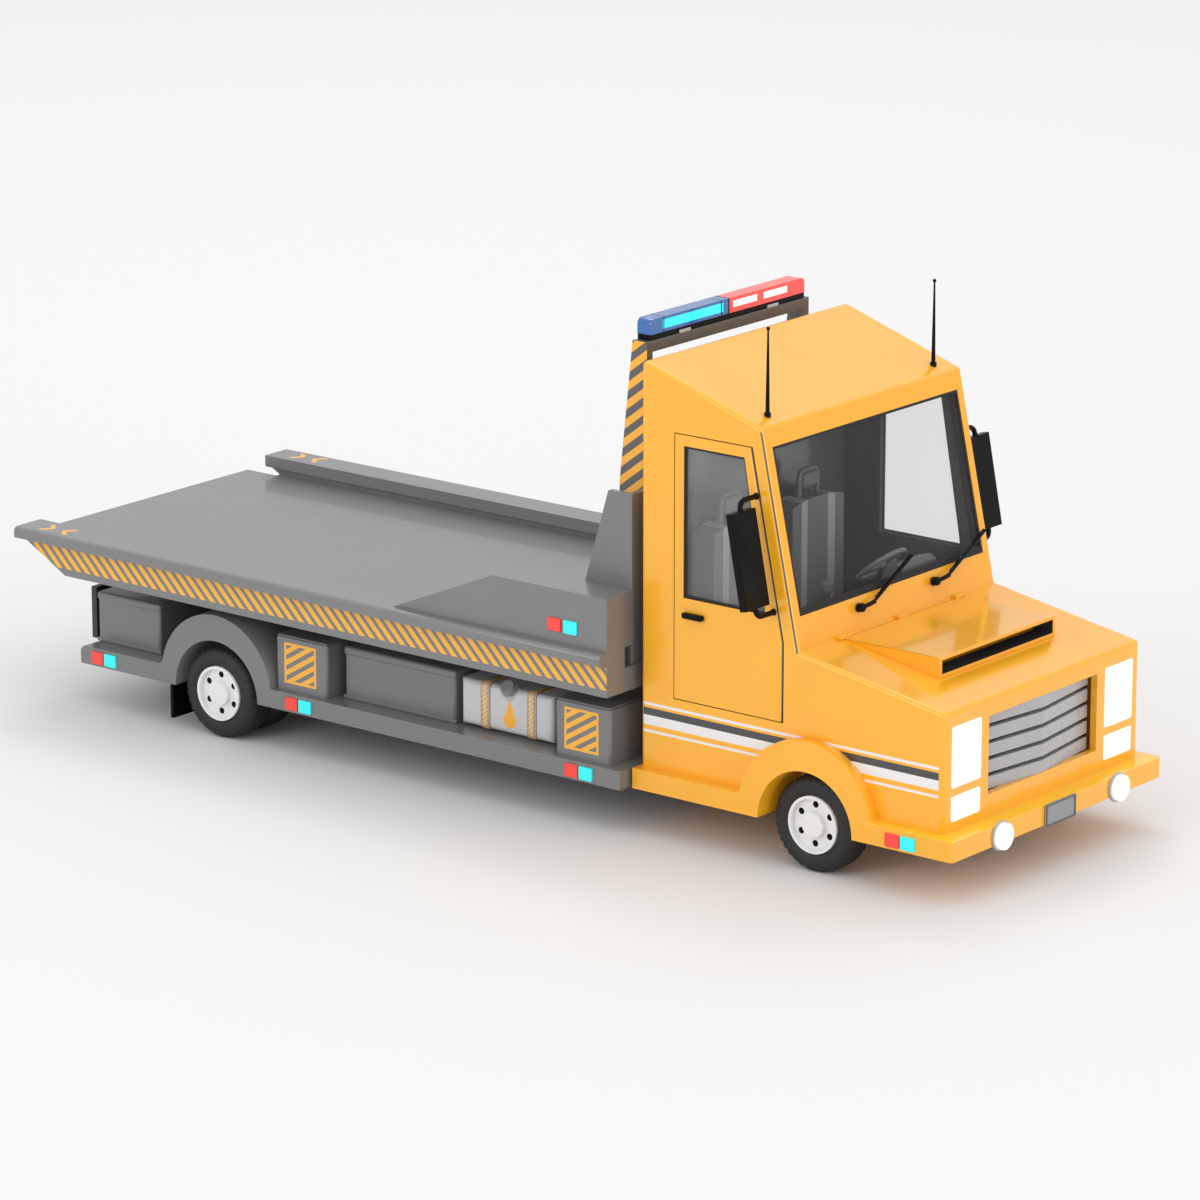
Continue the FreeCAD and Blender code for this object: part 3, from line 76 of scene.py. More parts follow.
class Graph:
    """A material with short calls for building its node tree. Coordinates are in millimetres."""

    def __init__(self, name):
        self.material = bpy.data.materials.new(name)
        self.material.use_nodes = True
        self.tree = self.material.node_tree
        self.shader = self.tree.nodes["Principled BSDF"]
        source = self.tree.nodes.new("ShaderNodeTexCoord").outputs["Object"]
        scale = self.tree.nodes.new("ShaderNodeVectorMath")
        scale.operation = "SCALE"
        scale.inputs["Scale"].default_value = 1 / MM
        self.tree.links.new(source, scale.inputs[0])
        self.place = scale.outputs[0]
        split = self.tree.nodes.new("ShaderNodeSeparateXYZ")
        self.tree.links.new(self.place, split.inputs[0])
        self.x, self.y, self.z = split.outputs

    def feed(self, socket, given):
        if isinstance(given, bpy.types.NodeSocket):
            self.tree.links.new(given, socket)
        elif socket.type == "VECTOR":
            socket.default_value = given[:3]
        else:
            socket.default_value = given

    def math(self, operation, first, second=0.0):
        node = self.tree.nodes.new("ShaderNodeMath")
        node.operation = operation
        self.feed(node.inputs[0], first)
        self.feed(node.inputs[1], second)
        return node.outputs[0]

    def inside(self, along, low, high):
        """1 where low < along < high."""
        above = self.math("GREATER_THAN", along, low)
        return self.math("MULTIPLY", above, self.math("LESS_THAN", along, high))

    def both(self, *masks):
        result = masks[0]
        for mask in masks[1:]:
            result = self.math("MULTIPLY", result, mask)
        return result

    def either(self, *masks):
        result = masks[0]
        for mask in masks[1:]:
            result = self.math("MAXIMUM", result, mask)
        return result

    def stripes(self, along, pitch, share):
        """1 on the coloured share of each pitch."""
        phase = self.math("FRACT", self.math("DIVIDE", along, pitch))
        return self.math("LESS_THAN", phase, share)

    def slanted(self, first, second, slope):
        """first + slope * second, the coordinate that crosses slanted stripes."""
        return self.math("ADD", first, self.math("MULTIPLY", second, slope))

    def side_distance(self):
        return self.math("ABSOLUTE", self.y)

    def distance_squared(self, across, up):
        first = self.math("MULTIPLY", across, across)
        return self.math("ADD", first, self.math("MULTIPLY", up, up))

    def mix(self, factor, first, second):
        node = self.tree.nodes.new("ShaderNodeMix")
        node.data_type = "RGBA"
        self.feed(node.inputs["Factor"], factor)
        self.feed(node.inputs["A"], first)
        self.feed(node.inputs["B"], second)
        return node.outputs["Result"]

    def noise(self, scale, detail=3.0):
        node = self.tree.nodes.new("ShaderNodeTexNoise")
        node.inputs["Scale"].default_value = scale
        node.inputs["Detail"].default_value = detail
        self.tree.links.new(self.place, node.inputs["Vector"])
        return node.outputs["Fac"]

    def remap(self, given, low, high):
        node = self.tree.nodes.new("ShaderNodeMapRange")
        self.feed(node.inputs["Value"], given)
        node.inputs["To Min"].default_value = low
        node.inputs["To Max"].default_value = high
        return node.outputs["Result"]

    def plastic(self, colour, roughness, coat=0.0, grain=0.02, variation=0.04):
        """Moulded plastic: slight tone drift, uneven gloss and a fine moulding grain."""
        tone = self.remap(self.noise(TONE_SCALE), 1 - variation, 1 + variation)
        node = self.tree.nodes.new("ShaderNodeVectorMath")
        node.operation = "SCALE"
        self.feed(node.inputs[0], colour)
        self.feed(node.inputs["Scale"], tone)
        self.tree.links.new(node.outputs[0], self.shader.inputs["Base Color"])
        uneven = roughness * GLOSS_DRIFT
        gloss = self.remap(self.noise(GLOSS_SCALE), roughness - uneven, roughness + uneven)
        self.tree.links.new(gloss, self.shader.inputs["Roughness"])
        self.shader.inputs["Coat Weight"].default_value = coat
        self.shader.inputs["Coat Roughness"].default_value = COAT_ROUGHNESS
        bump = self.tree.nodes.new("ShaderNodeBump")
        bump.inputs["Strength"].default_value = grain
        bump.inputs["Distance"].default_value = GRAIN_HEIGHT * MM
        self.tree.links.new(self.noise(GRAIN_SCALE, 5.0), bump.inputs["Height"])
        self.tree.links.new(bump.outputs[0], self.shader.inputs["Normal"])
        return self.material


def rgb(red, green, blue):
    return (red, green, blue, 1.0)


YELLOW = rgb(1.0, 0.46, 0.018)
# painted light: the lighter yellow of the front ledge's top, for light bounced off the front face
LEDGE_PAINTED_LIGHT = rgb(1.0, 0.62, 0.02)
HAZARD = rgb(1.0, 0.47, 0.03)
GREY = rgb(0.19, 0.19, 0.19)
BED_GREY = rgb(0.2, 0.2, 0.2)
LIGHT_GREY = rgb(0.62, 0.62, 0.63)
TRIM_GREY = rgb(0.42, 0.42, 0.43)
CAP_GREY = rgb(0.3, 0.3, 0.3)
SEAM_GREY = rgb(0.12, 0.12, 0.12)
PORTAL_GREY = rgb(0.1, 0.1, 0.1)
DARK = rgb(0.045, 0.045, 0.048)
CABIN = rgb(0.11, 0.11, 0.112)
BLACK = rgb(0.004, 0.004, 0.0045)
WHITE = rgb(0.85, 0.85, 0.85)
RED = rgb(0.9, 0.045, 0.03)
CYAN = rgb(0.02, 0.82, 0.85)

# Finishes that several materials share.
CAB_FINISH = {"roughness": 0.24, "coat": 0.6}
GREY_FINISH = {"roughness": 0.3, "coat": 0.35}
RIM_FINISH = {"roughness": 0.22, "coat": 0.5}
BLACK_SPECULAR = 0.12


def millimetres(node):
    low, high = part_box(node)
    return Vector(low) / MM, Vector(high) / MM


# Places and sizes of the CAD model, in millimetres: x forwards, y to the left, z up.
CAB_LOW, CAB_HIGH = millimetres("cab_shell")
CAB_HALF = CAB_HIGH.y
SCREEN_LOW, SCREEN_HIGH = millimetres("windscreen")
FRONT_AXLE_X, REAR_AXLE_X = 120.0, -90.0
FRONT_FACE, REAR_FACE = 46.4, 53.5
TYRE_RADIUS, RIM_RADIUS = 13.5, 8.1
COWL_X, COWL_Z = 114.5, 61.0
ROOF_FRONT_X, ROOF_FRONT_Z = 101.6, 120.9
ROOF_REAR_Z = 134.1
ROOF_SLOPE, HOOD_SLOPE = 13.2 / 40.7, 8.3 / 48.6
WINDOW_TOP_FRONT = 96.2
SEAT_MIDDLE = 18.0
SIGN_STARTS = (("rear", -68.4), ("front", 35.3))
TANK_SEAMS = (8.0, 24.8)

# The painted bands along the cab's sides, as (low z, high z).
WHITE_BANDS = ((36.95, 37.75), (31.35, 34.1), (29.2, 29.95))
BLACK_BAND = (34.1, 36.2)

# Rounded edges: widths in millimetres, for the CAD nodes that differ from the rest, and the
# angle in degrees from which an edge counts as hard.
CREASE = 35
WELD_REACH = 0.002
GASKET_EDGE = 0.08
NODE_EDGE = 0.25
EDGES = {
    "mirror_left": 0.8, "mirror_right": 0.8,
    "headlights": 0.6, "door_handle_left": 0.6, "door_handle_right": 0.6,
    "light_lens_red": 0.5, "light_lens_blue": 0.5, "fog_lamps": 0.5,
    "tool_boxes": 0.4, "rear_boxes": 0.4, "cab_base": 0.4, "cab_shell": 0.4,
    "bed_markers_red": 0.35, "bed_markers_cyan": 0.35, "hood_scoop": 0.35,
    "chassis_markers_red": 0.35, "chassis_markers_cyan": 0.35,
}

# The studio, in metres and watts: (name, place, size, power) of each light.
LIGHTS = (
    ("key", (-0.7, 0.75, 1.5), 0.6, 4.5),
    ("side", (-0.2, -1.6, 0.75), 0.8, 5.0),
    ("front", (1.7, -0.2, 0.6), 0.8, 5.0),
)
LIGHT_TARGET = (0, 0, 0.05)
SKY_LOW, SKY_HIGH, SKY_TURN = 0.56, 1.08, 0.85
FLOOR_TONE = 0.8
FLOOR_SIZE = 40


# --- materials ---


def cab_stripes(graph, paint):
    """White, black, white and white bands along the cab's sides."""
    outside = graph.math("GREATER_THAN", graph.side_distance(), CAB_HALF - 0.05)
    length = graph.inside(graph.x, CAB_LOW.x + 0.3, CAB_HIGH.x - 1.6)
    on_side = graph.both(outside, length)
    white = graph.either(*[graph.inside(graph.z, *levels) for levels in WHITE_BANDS])
    black = graph.inside(graph.z, *BLACK_BAND)
    paint = graph.mix(graph.both(on_side, white), paint, WHITE)
    return graph.mix(graph.both(on_side, black), paint, DARK)


def cab_depth(graph):
    """Distance below the cab's outer side and rear faces and its screen plane."""
    glass_depth, recess = 1.2, 0.4
    side = graph.math("SUBTRACT", CAB_HALF, graph.side_distance())
    rear = graph.math("SUBTRACT", graph.x, CAB_LOW.x)
    rise = SCREEN_HIGH.z - SCREEN_LOW.z
    lean = (SCREEN_HIGH.x - SCREEN_LOW.x - glass_depth) / rise
    plane = SCREEN_HIGH.x + recess + SCREEN_LOW.z * lean
    screen = graph.math("SUBTRACT", plane, graph.slanted(graph.x, graph.z, lean))
    return graph.math("MINIMUM", graph.math("MINIMUM", side, rear), screen)


def depth_below(graph, x, z, slope):
    """Depth below the plane through (x, z) that falls forwards."""
    return graph.math("SUBTRACT", z + x * slope, graph.slanted(graph.z, graph.x, slope))


def roof_depth(graph):
    """Depth below the roof plane, and below the hood plane ahead of the screen."""
    roof = depth_below(graph, CAB_LOW.x, ROOF_REAR_Z, ROOF_SLOPE)
    hood = depth_below(graph, COWL_X, COWL_Z, HOOD_SLOPE)
    ahead = graph.math("GREATER_THAN", graph.x, COWL_X)
    kept = graph.math("MULTIPLY", hood, ahead)
    other = graph.math("MULTIPLY", roof, graph.math("SUBTRACT", 1.0, ahead))
    return graph.math("ADD", kept, other)


def cab_paint():
    """Yellow and striped outside, dark inside the cabin."""
    wall_skin, roof_skin, nose = 0.25, 1.2, 4
    graph = Graph("cab_paint")
    paint = cab_stripes(graph, YELLOW)
    cabin = graph.both(
        graph.math("GREATER_THAN", cab_depth(graph), wall_skin),
        graph.math("LESS_THAN", graph.x, CAB_HIGH.x - nose),
        graph.math("LESS_THAN", graph.z, CAB_HIGH.z),
        graph.math("GREATER_THAN", roof_depth(graph), roof_skin),
    )
    return graph.plastic(graph.mix(cabin, paint, CABIN), **CAB_FINISH)


def door_paint():
    """Yellow outside, dark on the edges and inside."""
    graph = Graph("door_paint")
    hidden = graph.math("LESS_THAN", graph.side_distance(), CAB_HALF - 0.2)
    return graph.plastic(graph.mix(hidden, YELLOW, CABIN), **CAB_FINISH)


def scoop_paint():
    """Yellow with a dark mouth."""
    wall, lip, mouth_depth, floor_z = 1.0, 0.15, 14.2, 56.3
    graph = Graph("scoop_paint")
    high = millimetres("hood_scoop")[1]
    within = graph.both(
        graph.math("LESS_THAN", graph.side_distance(), high.y - wall),
        graph.inside(graph.x, high.x - mouth_depth, high.x - lip),
        graph.inside(graph.z, floor_z, high.z - wall),
    )
    return graph.plastic(graph.mix(within, YELLOW, DARK), **CAB_FINISH)


def bed_paint():
    """Grey with slanted hazard stripes on the sides and chevrons on the rail ends."""
    graph = Graph("bed_paint")
    side = graph.inside(graph.side_distance(), 57.9, 58.1)
    band = graph.inside(graph.z, 42.6, 49.0)
    pattern = graph.stripes(graph.slanted(graph.x, graph.z, 1.0), 3.8, 0.56)
    hazard = graph.both(side, band, pattern)
    rail_middle, rail_top, arm, point, width = 55.6, 53.1, 3.0, 0.8, 1.9
    across = graph.math("SUBTRACT", graph.side_distance(), rail_middle)
    across = graph.math("ABSOLUTE", across)
    top = graph.math("GREATER_THAN", graph.z, rail_top)
    arms = graph.math("LESS_THAN", across, arm)
    marks = []
    for tip, direction in ((-152.0, -1), (-149.0, 1)):
        away = graph.math("MULTIPLY", graph.math("SUBTRACT", graph.x, tip), direction)
        line = graph.math("SUBTRACT", away, graph.math("MULTIPLY", across, point))
        marks.append(graph.inside(line, 0.0, width))
    chevrons = graph.both(top, arms, graph.either(*marks))
    colour = graph.mix(graph.either(hazard, chevrons), BED_GREY, HAZARD)
    return graph.plastic(colour, **GREY_FINISH)


def sign_paint():
    """Grey box whose outer face carries a framed panel of slanted stripes."""
    inward, low_z, size, border, outer_face = 3.2, 21.2, 12.1, 0.75, 51.9
    graph = Graph("sign_paint")
    masks = []
    for start in dict(SIGN_STARTS).values():
        low_x = start + inward
        panel, inner = [
            graph.both(
                graph.inside(graph.x, low_x + edge, low_x + size - edge),
                graph.inside(graph.z, low_z + edge, low_z + size - edge),
            )
            for edge in (0.0, border)
        ]
        lines = graph.stripes(graph.slanted(graph.z, graph.x, -0.6), 3.1, 0.52)
        ring = graph.both(panel, graph.math("SUBTRACT", 1.0, inner))
        masks.append(graph.either(ring, graph.both(inner, lines)))
    outer = graph.math("GREATER_THAN", graph.side_distance(), outer_face)
    hazard = graph.both(outer, graph.either(*masks))
    return graph.plastic(graph.mix(hazard, GREY, HAZARD), **GREY_FINISH)


def portal_paint():
    """Dark grey with slanted stripes on the outer faces of the posts."""
    graph = Graph("portal_paint")
    outer = graph.math("GREATER_THAN", graph.side_distance(), 36.8)
    lines = graph.stripes(graph.slanted(graph.z, graph.x, -0.75), 5.0, 0.5)
    colour = graph.mix(graph.both(outer, lines), PORTAL_GREY, HAZARD)
    return graph.plastic(colour, 0.3, coat=0.3)


def band_stripes(graph):
    """The fine slanted stripes on the tanks."""
    return graph.stripes(graph.slanted(graph.z, graph.x, -0.8), 1.35, 0.5)


def band_paint():
    """The striped bands round the tanks."""
    graph = Graph("band_paint")
    return graph.plastic(graph.mix(band_stripes(graph), LIGHT_GREY, HAZARD), **GREY_FINISH)


def tank_paint():
    """Light grey with two seams, a striped band behind each and a plain drop mark."""
    graph = Graph("tank_paint")
    bands = []
    seams = []
    for seam in TANK_SEAMS:
        width = graph.inside(graph.x, seam - 3.3, seam - 0.5)
        bands.append(graph.both(width, band_stripes(graph)))
        seams.append(graph.inside(graph.x, seam - 0.25, seam + 0.15))
    shown = graph.math("GREATER_THAN", graph.side_distance(), 43.5)
    colour = graph.mix(graph.both(shown, graph.either(*bands)), LIGHT_GREY, HAZARD)
    colour = graph.mix(tank_drop(graph), colour, HAZARD)
    colour = graph.mix(graph.both(shown, graph.either(*seams)), colour, SEAM_GREY)
    return graph.plastic(colour, **GREY_FINISH)


def tank_drop(graph):
    """A round foot with a pointed top."""
    centre_x, centre_z, radius, tip = 15.2, 23.6, 2.3, 30.0
    across = graph.math("ABSOLUTE", graph.math("SUBTRACT", graph.x, centre_x))
    up = graph.math("SUBTRACT", graph.z, centre_z)
    foot = graph.math("LESS_THAN", graph.distance_squared(across, up), radius ** 2)
    slope = radius / (tip - centre_z)
    taper = graph.math("MULTIPLY", graph.math("SUBTRACT", tip, graph.z), slope)
    above = graph.math("GREATER_THAN", up, 0.0)
    return graph.either(foot, graph.both(graph.math("LESS_THAN", across, taper), above))


def grille_paint():
    """Pale bars in front of a black back."""
    bar_depth = 3.65
    graph = Graph("grille_paint")
    back = graph.math("LESS_THAN", graph.x, CAB_HIGH.x - bar_depth)
    return graph.plastic(graph.mix(back, TRIM_GREY, BLACK), 0.28, coat=0.3)


def ledge_paint():
    """Cab yellow, with painted light on top of the front ledge: a lighter yellow for the light the
    front face throws onto it.
    """
    graph = Graph("ledge_paint")
    # The top of the front ledge is painted lighter, as painted bounce light.
    level = graph.inside(graph.z, 19.05, 19.3)
    top = graph.both(level, graph.math("GREATER_THAN", graph.x, 140.0))
    return graph.plastic(graph.mix(top, YELLOW, LEDGE_PAINTED_LIGHT), **CAB_FINISH)


def rim_paint(name, axle_x, face):
    """White rim whose small round holes are painted dark inside, as painted shade in the holes."""
    holes_radius, holes_depth = 6.9, 1.68
    graph = Graph(name)
    across = graph.math("SUBTRACT", graph.x, axle_x)
    up = graph.math("SUBTRACT", graph.z, TYRE_RADIUS)
    reach = graph.distance_squared(across, up)
    within = graph.math("LESS_THAN", reach, holes_radius ** 2)
    painted_shade_depth = graph.math("LESS_THAN", graph.side_distance(), face - holes_depth)
    # The hole walls and floors get DARK: painted shade, darker than the holes' own shade.
    return graph.plastic(graph.mix(graph.both(within, painted_shade_depth), WHITE, DARK), **RIM_FINISH)


def plain(name, colour, roughness, coat=0.0, grain=0.03, metallic=0.0):
    graph = Graph(name)
    graph.shader.inputs["Metallic"].default_value = metallic
    return graph.plastic(colour, roughness, coat, grain)


def glowing(name, colour, strength):
    graph = Graph(name)
    graph.shader.inputs["Emission Color"].default_value = colour
    graph.shader.inputs["Emission Strength"].default_value = strength
    return graph.plastic(colour, 0.2, coat=0.5)


def dim_black(name, roughness):
    """Black plastic that reflects little."""
    material = plain(name, BLACK, roughness)
    shader = material.node_tree.nodes["Principled BSDF"]
    shader.inputs["Specular IOR Level"].default_value = BLACK_SPECULAR
    return material


def glass(name, colour, alpha):
    """Thin clear plastic that turns more mirror-like towards grazing angles."""
    blend, grazing_cover = 0.25, 0.1
    graph = Graph(name)
    facing = graph.tree.nodes.new("ShaderNodeLayerWeight")
    facing.inputs["Blend"].default_value = blend
    mirrored = graph.math("MULTIPLY", facing.outputs["Fresnel"], grazing_cover)
    graph.tree.links.new(graph.math("ADD", mirrored, alpha), graph.shader.inputs["Alpha"])
    return graph.plastic(colour, 0.04, coat=0.5, grain=0.0)


def lens(graph, colour, strength, roughness):
    """Finishes a lens that glows in its own pattern."""
    graph.tree.links.new(colour, graph.shader.inputs["Emission Color"])
    graph.shader.inputs["Emission Strength"].default_value = strength
    return graph.plastic(colour, roughness, coat=0.8)


def blue_lens():
    """Deep blue ends around a bright glowing tube."""
    graph = Graph("blue_lens")
    low, high = millimetres("light_lens_blue")
    ends = graph.inside(graph.y, low.y + 5.2, high.y - 2.2)
    core = graph.both(ends, graph.inside(graph.z, low.z + 0.9, high.z - 0.8))
    colour = graph.mix(core, rgb(0.01, 0.09, 0.3), rgb(0.0, 0.78, 0.95))
    return lens(graph, colour, 0.45, 0.12)


def red_lens():
    """Red frame with two clear windows on the long faces."""
    graph = Graph("red_lens")
    low, high = millimetres("light_lens_red")
    first = graph.inside(graph.y, low.y + 1.6, low.y + 12.6)
    second = graph.inside(graph.y, low.y + 15.6, low.y + 26.5)
    height = graph.inside(graph.z, low.z + 1.4, high.z - 1.0)
    window = graph.both(height, graph.either(first, second))
    return lens(graph, graph.mix(window, RED, rgb(0.95, 0.93, 0.92)), 0.3, 0.15)


def seat_paint():
    """Dark moulding with a lighter band up each side."""
    band_low, band_high = 4.8, 7.8
    graph = Graph("seat_paint")
    across = graph.math("SUBTRACT", graph.side_distance(), SEAT_MIDDLE)
    light = graph.inside(graph.math("ABSOLUTE", across), band_low, band_high)
    colour = graph.mix(light, rgb(0.17, 0.17, 0.175), TRIM_GREY)
    return graph.plastic(colour, 0.55, grain=0.25)


def dress_nodes():
    """Gives every CAD node its material and softens its edges. Nodes that are not listed,
    among them those that pieces replace, are black."""
    groups = (
        (cab_paint(), ["cab_shell"]),
        (ledge_paint(), ["cab_base"]),
        (scoop_paint(), ["hood_scoop"]),
        (door_paint(), ["door_left", "door_right"]),
        (glass("clear_glass", rgb(0.2, 0.2, 0.21), 0.02), ["windscreen"]),
        (glass("side_glass", rgb(0.9, 0.9, 0.91), 0.09), ["door_glass_left", "door_glass_right"]),
        (grille_paint(), ["grille"]),
        (glowing("lamp_lens", rgb(0.93, 0.93, 0.94), 0.35), ["headlights", "fog_lamps"]),
        (plain("plate_grey", rgb(0.3, 0.3, 0.31), 0.35), ["front_plate"]),
        (plain("interior_plastic", rgb(0.14, 0.14, 0.145), 0.5, grain=0.2),
         ["dashboard", "gear_lever"]),
        (bed_paint(), ["bed"]),
        (portal_paint(), ["portal_frame"]),
        (blue_lens(), ["light_lens_blue"]),
        (red_lens(), ["light_lens_red"]),
        (plain("grey_plastic", GREY, **GREY_FINISH),
         ["headboard", "side_skirt_left", "side_skirt_right", "rear_boxes", "tool_boxes"]),
        (plain("dark_plastic", rgb(0.03, 0.03, 0.032), 0.4), ["subframe", "chassis_frame"]),
        (sign_paint(), ["sign_boxes"]),
        (tank_paint(), ["fuel_tank_left", "fuel_tank_right"]),
        (plain("steel", rgb(0.55, 0.55, 0.56), 0.3, metallic=1.0),
         ["tilt_pin", "chassis_screws", "front_axle", "rear_axle"]),
        (rim_paint("front_rim_white", FRONT_AXLE_X, FRONT_FACE),
         ["front_rim_left", "front_rim_right"]),
        (rim_paint("rear_rim_white", REAR_AXLE_X, REAR_FACE), ["rear_rim_left", "rear_rim_right"]),
        (glowing("red_marker", RED, 0.12), ["chassis_markers_red", "bed_markers_red"]),
        (glowing("cyan_marker", CYAN, 0.2), ["chassis_markers_cyan", "bed_markers_cyan"]),
    )
    chosen = {name: material for material, names in groups for name in names}
    black = dim_black("black_plastic", 0.3)
    for name, obj in frame["nodes"].items():
        obj.data.materials.clear()
        obj.data.materials.append(chosen.get(name, black))
        soften(obj, EDGES.get(name, NODE_EDGE))


def make_pieces():
    """Every piece that is made here, each riding on its body."""
    black = dim_black("gloss_black", 0.24)
    grey = plain("lid_grey", GREY, **GREY_FINISH)
    rim_grey = plain("bezel_grey", rgb(0.45, 0.45, 0.46), 0.3, coat=0.3)
    wheels(
        plain("tyre_black", rgb(0.014, 0.014, 0.015), 0.55, grain=0.4),
        plain("hub_white", WHITE, **RIM_FINISH),
    )
    seats(seat_paint(), plain("seat_frame", rgb(0.16, 0.16, 0.165), 0.4, grain=0.2))
    steering(plain("steering_grey", rgb(0.2, 0.2, 0.205), 0.4, grain=0.2))
    silver = plain("mirror_silver", rgb(0.8, 0.81, 0.82), 0.04, grain=0.0, metallic=1.0)
    mirror_parts(black, silver)
    wiper_parts(black)
    glazing(plain("seal_black", rgb(0.01, 0.01, 0.011), 0.55, grain=0.1))
    box_lids(grey)
    tank_details(band_paint(), plain("cap_moulding", CAP_GREY, 0.35))
    plate_border(plain("border_grey", rgb(0.12, 0.12, 0.125), 0.4))
    fog_details(rim_grey, glowing("lamp_ring", rgb(0.8, 0.8, 0.81), 0.2))
    cowl_tabs(plain("tab_yellow", YELLOW, **CAB_FINISH))
    bar_details(black, rim_grey)


def soften(obj, width, segments=2):
    """Welds the imported facets and rounds the hard edges a little."""
    weld = obj.modifiers.new("weld", "WELD")
    weld.merge_threshold = WELD_REACH * MM
    bevel = obj.modifiers.new("bevel", "BEVEL")
    bevel.width = width * MM
    bevel.segments = segments
    bevel.limit_method = "ANGLE"
    bevel.angle_limit = math.radians(CREASE)
    bevel.use_clamp_overlap = True
    bevel.harden_normals = True


# --- mesh helpers, in millimetres ---


def new_object(name, mesh):
    obj = bpy.data.objects.new(name, mesh)
    bpy.context.collection.objects.link(obj)
    return obj


def add_mesh(name, points, faces):
    mesh = bpy.data.meshes.new(name)
    mesh.from_pydata([Vector(point) * MM for point in points], [], faces)
    shape = bmesh.new()
    shape.from_mesh(mesh)
    bmesh.ops.recalc_face_normals(shape, faces=shape.faces)
    shape.to_mesh(mesh)
    shape.free()
    return new_object(name, mesh)


def dress(obj, material, body, width=0.0):
    """Gives a new piece its material, smooth faces with sharp creases, a soft edge and its body."""
    obj.data.materials.append(material)
    for polygon in obj.data.polygons:
        polygon.use_smooth = True
    obj.data.set_sharp_from_angle(angle=math.radians(CREASE))
    if width:
        soften(obj, width, segments=3)
    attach(obj, body)
    return obj


def body_of(node):
    parent = frame["nodes"][node].parent
    return next(name for name, empty in frame["bodies"].items() if empty == parent)


def slab(name, low, high, material, body, width):
    """A block between two corners with rounded edges."""
    points = list(itertools.product(*zip(low, high)))
    faces = [(0, 1, 3, 2), (4, 6, 7, 5), (0, 4, 5, 1), (2, 3, 7, 6), (0, 2, 6, 4), (1, 5, 7, 3)]
    return dress(add_mesh(name, points, faces), material, body, width)


def lathe(name, profile, centre, axis, segments=72, dent=None, closed=False):
    """Spins (radius, station) points round an axis; dent(turn, row) takes a bit off the radius."""
    axis = Vector(axis).normalized()
    across = axis.orthogonal().normalized()
    up = axis.cross(across)
    rows = len(profile)
    points = []
    for turn in range(segments):
        angle = 2 * math.pi * turn / segments
        outward = across * math.cos(angle) + up * math.sin(angle)
        for row, (radius, station) in enumerate(profile):
            taken = dent(turn, row) if dent else 0.0
            points.append(Vector(centre) + axis * station + outward * (radius - taken))
    faces = []
    for turn in range(segments):
        here, after = turn * rows, (turn + 1) % segments * rows
        for row in range(rows if closed else rows - 1):
            above = (row + 1) % rows
            faces.append((here + row, after + row, after + above, here + above))
    if not closed:
        faces.append([turn * rows for turn in range(segments)])
        faces.append([turn * rows + rows - 1 for turn in range(segments)])
    return add_mesh(name, points, faces)


def rounded_path(points, bend, steps=6):
    """The corners of a path replaced by short curves."""
    path = [Vector(points[0])]
    for before, corner, after in zip(points, points[1:], points[2:]):
        before, corner, after = Vector(before), Vector(corner), Vector(after)
        start = corner + (before - corner).normalized() * bend
        end = corner + (after - corner).normalized() * bend
        for step in range(steps + 1):
            share = step / steps
            rest = 1 - share
            path.append(start * rest ** 2 + corner * 2 * share * rest + end * share ** 2)
    path.append(Vector(points[-1]))
    return path


def tube(name, points, radius, material, body, bend, cyclic=False):
    """A round bar along a path with rounded corners."""
    path = rounded_path(points, bend)
    curve = bpy.data.curves.new(name + "_path", "CURVE")
    curve.dimensions = "3D"
    curve.bevel_depth = radius * MM
    curve.bevel_resolution = 5
    curve.use_fill_caps = not cyclic
    spline = curve.splines.new("POLY")
    spline.points.add(len(path) - 1)
    spline.use_cyclic_u = cyclic
    for point, place in zip(spline.points, path):
        point.co = (*(place * MM), 1.0)
    guide = new_object(name + "_guide", curve)
    bpy.context.view_layer.update()
    mesh = bpy.data.meshes.new_from_object(guide)
    bpy.data.objects.remove(guide)
    obj = new_object(name, mesh)
    obj.data.materials.clear()
    return dress(obj, material, body)


def inset(outline, width):
    """A convex outline of (across, up) points moved inwards by width."""
    count = len(outline)
    centre = sum((Vector(point) for point in outline), Vector((0, 0))) / count
    lines = []
    for index in range(count):
        start, end = Vector(outline[index]), Vector(outline[(index + 1) % count])
        along = (end - start).normalized()
        inward = Vector((-along.y, along.x))
        if inward.dot(centre - start) < 0:
            inward = -inward
        lines.append((start + inward * width, along))
    corners = []
    for index in range(count):
        (first, one), (second, two) = lines[index - 1], lines[index]
        reach = (second - first).cross(two) / one.cross(two)
        corners.append(first + one * reach)
    return corners


def gasket(name, outline, width, place, depth, material, body):
    """A flat ring that follows an outline inwards; place(point, level) puts it in space."""
    loops = (outline, inset(outline, width))
    count = len(outline)
    points = [place(point, level) for level in (0.0, depth) for loop in loops for point in loop]
    outer_low, inner_low, outer_high, inner_high = (step * count for step in range(4))
    walls = (
        (outer_low, inner_low), (inner_low, inner_high),
        (inner_high, outer_high), (outer_high, outer_low),
    )
    faces = []
    for index in range(count):
        after = (index + 1) % count
        for first, second in walls:
            faces.append((first + index, first + after, second + after, second + index))
    return dress(add_mesh(name, points, faces), material, body, GASKET_EDGE)


# --- pieces made here ---


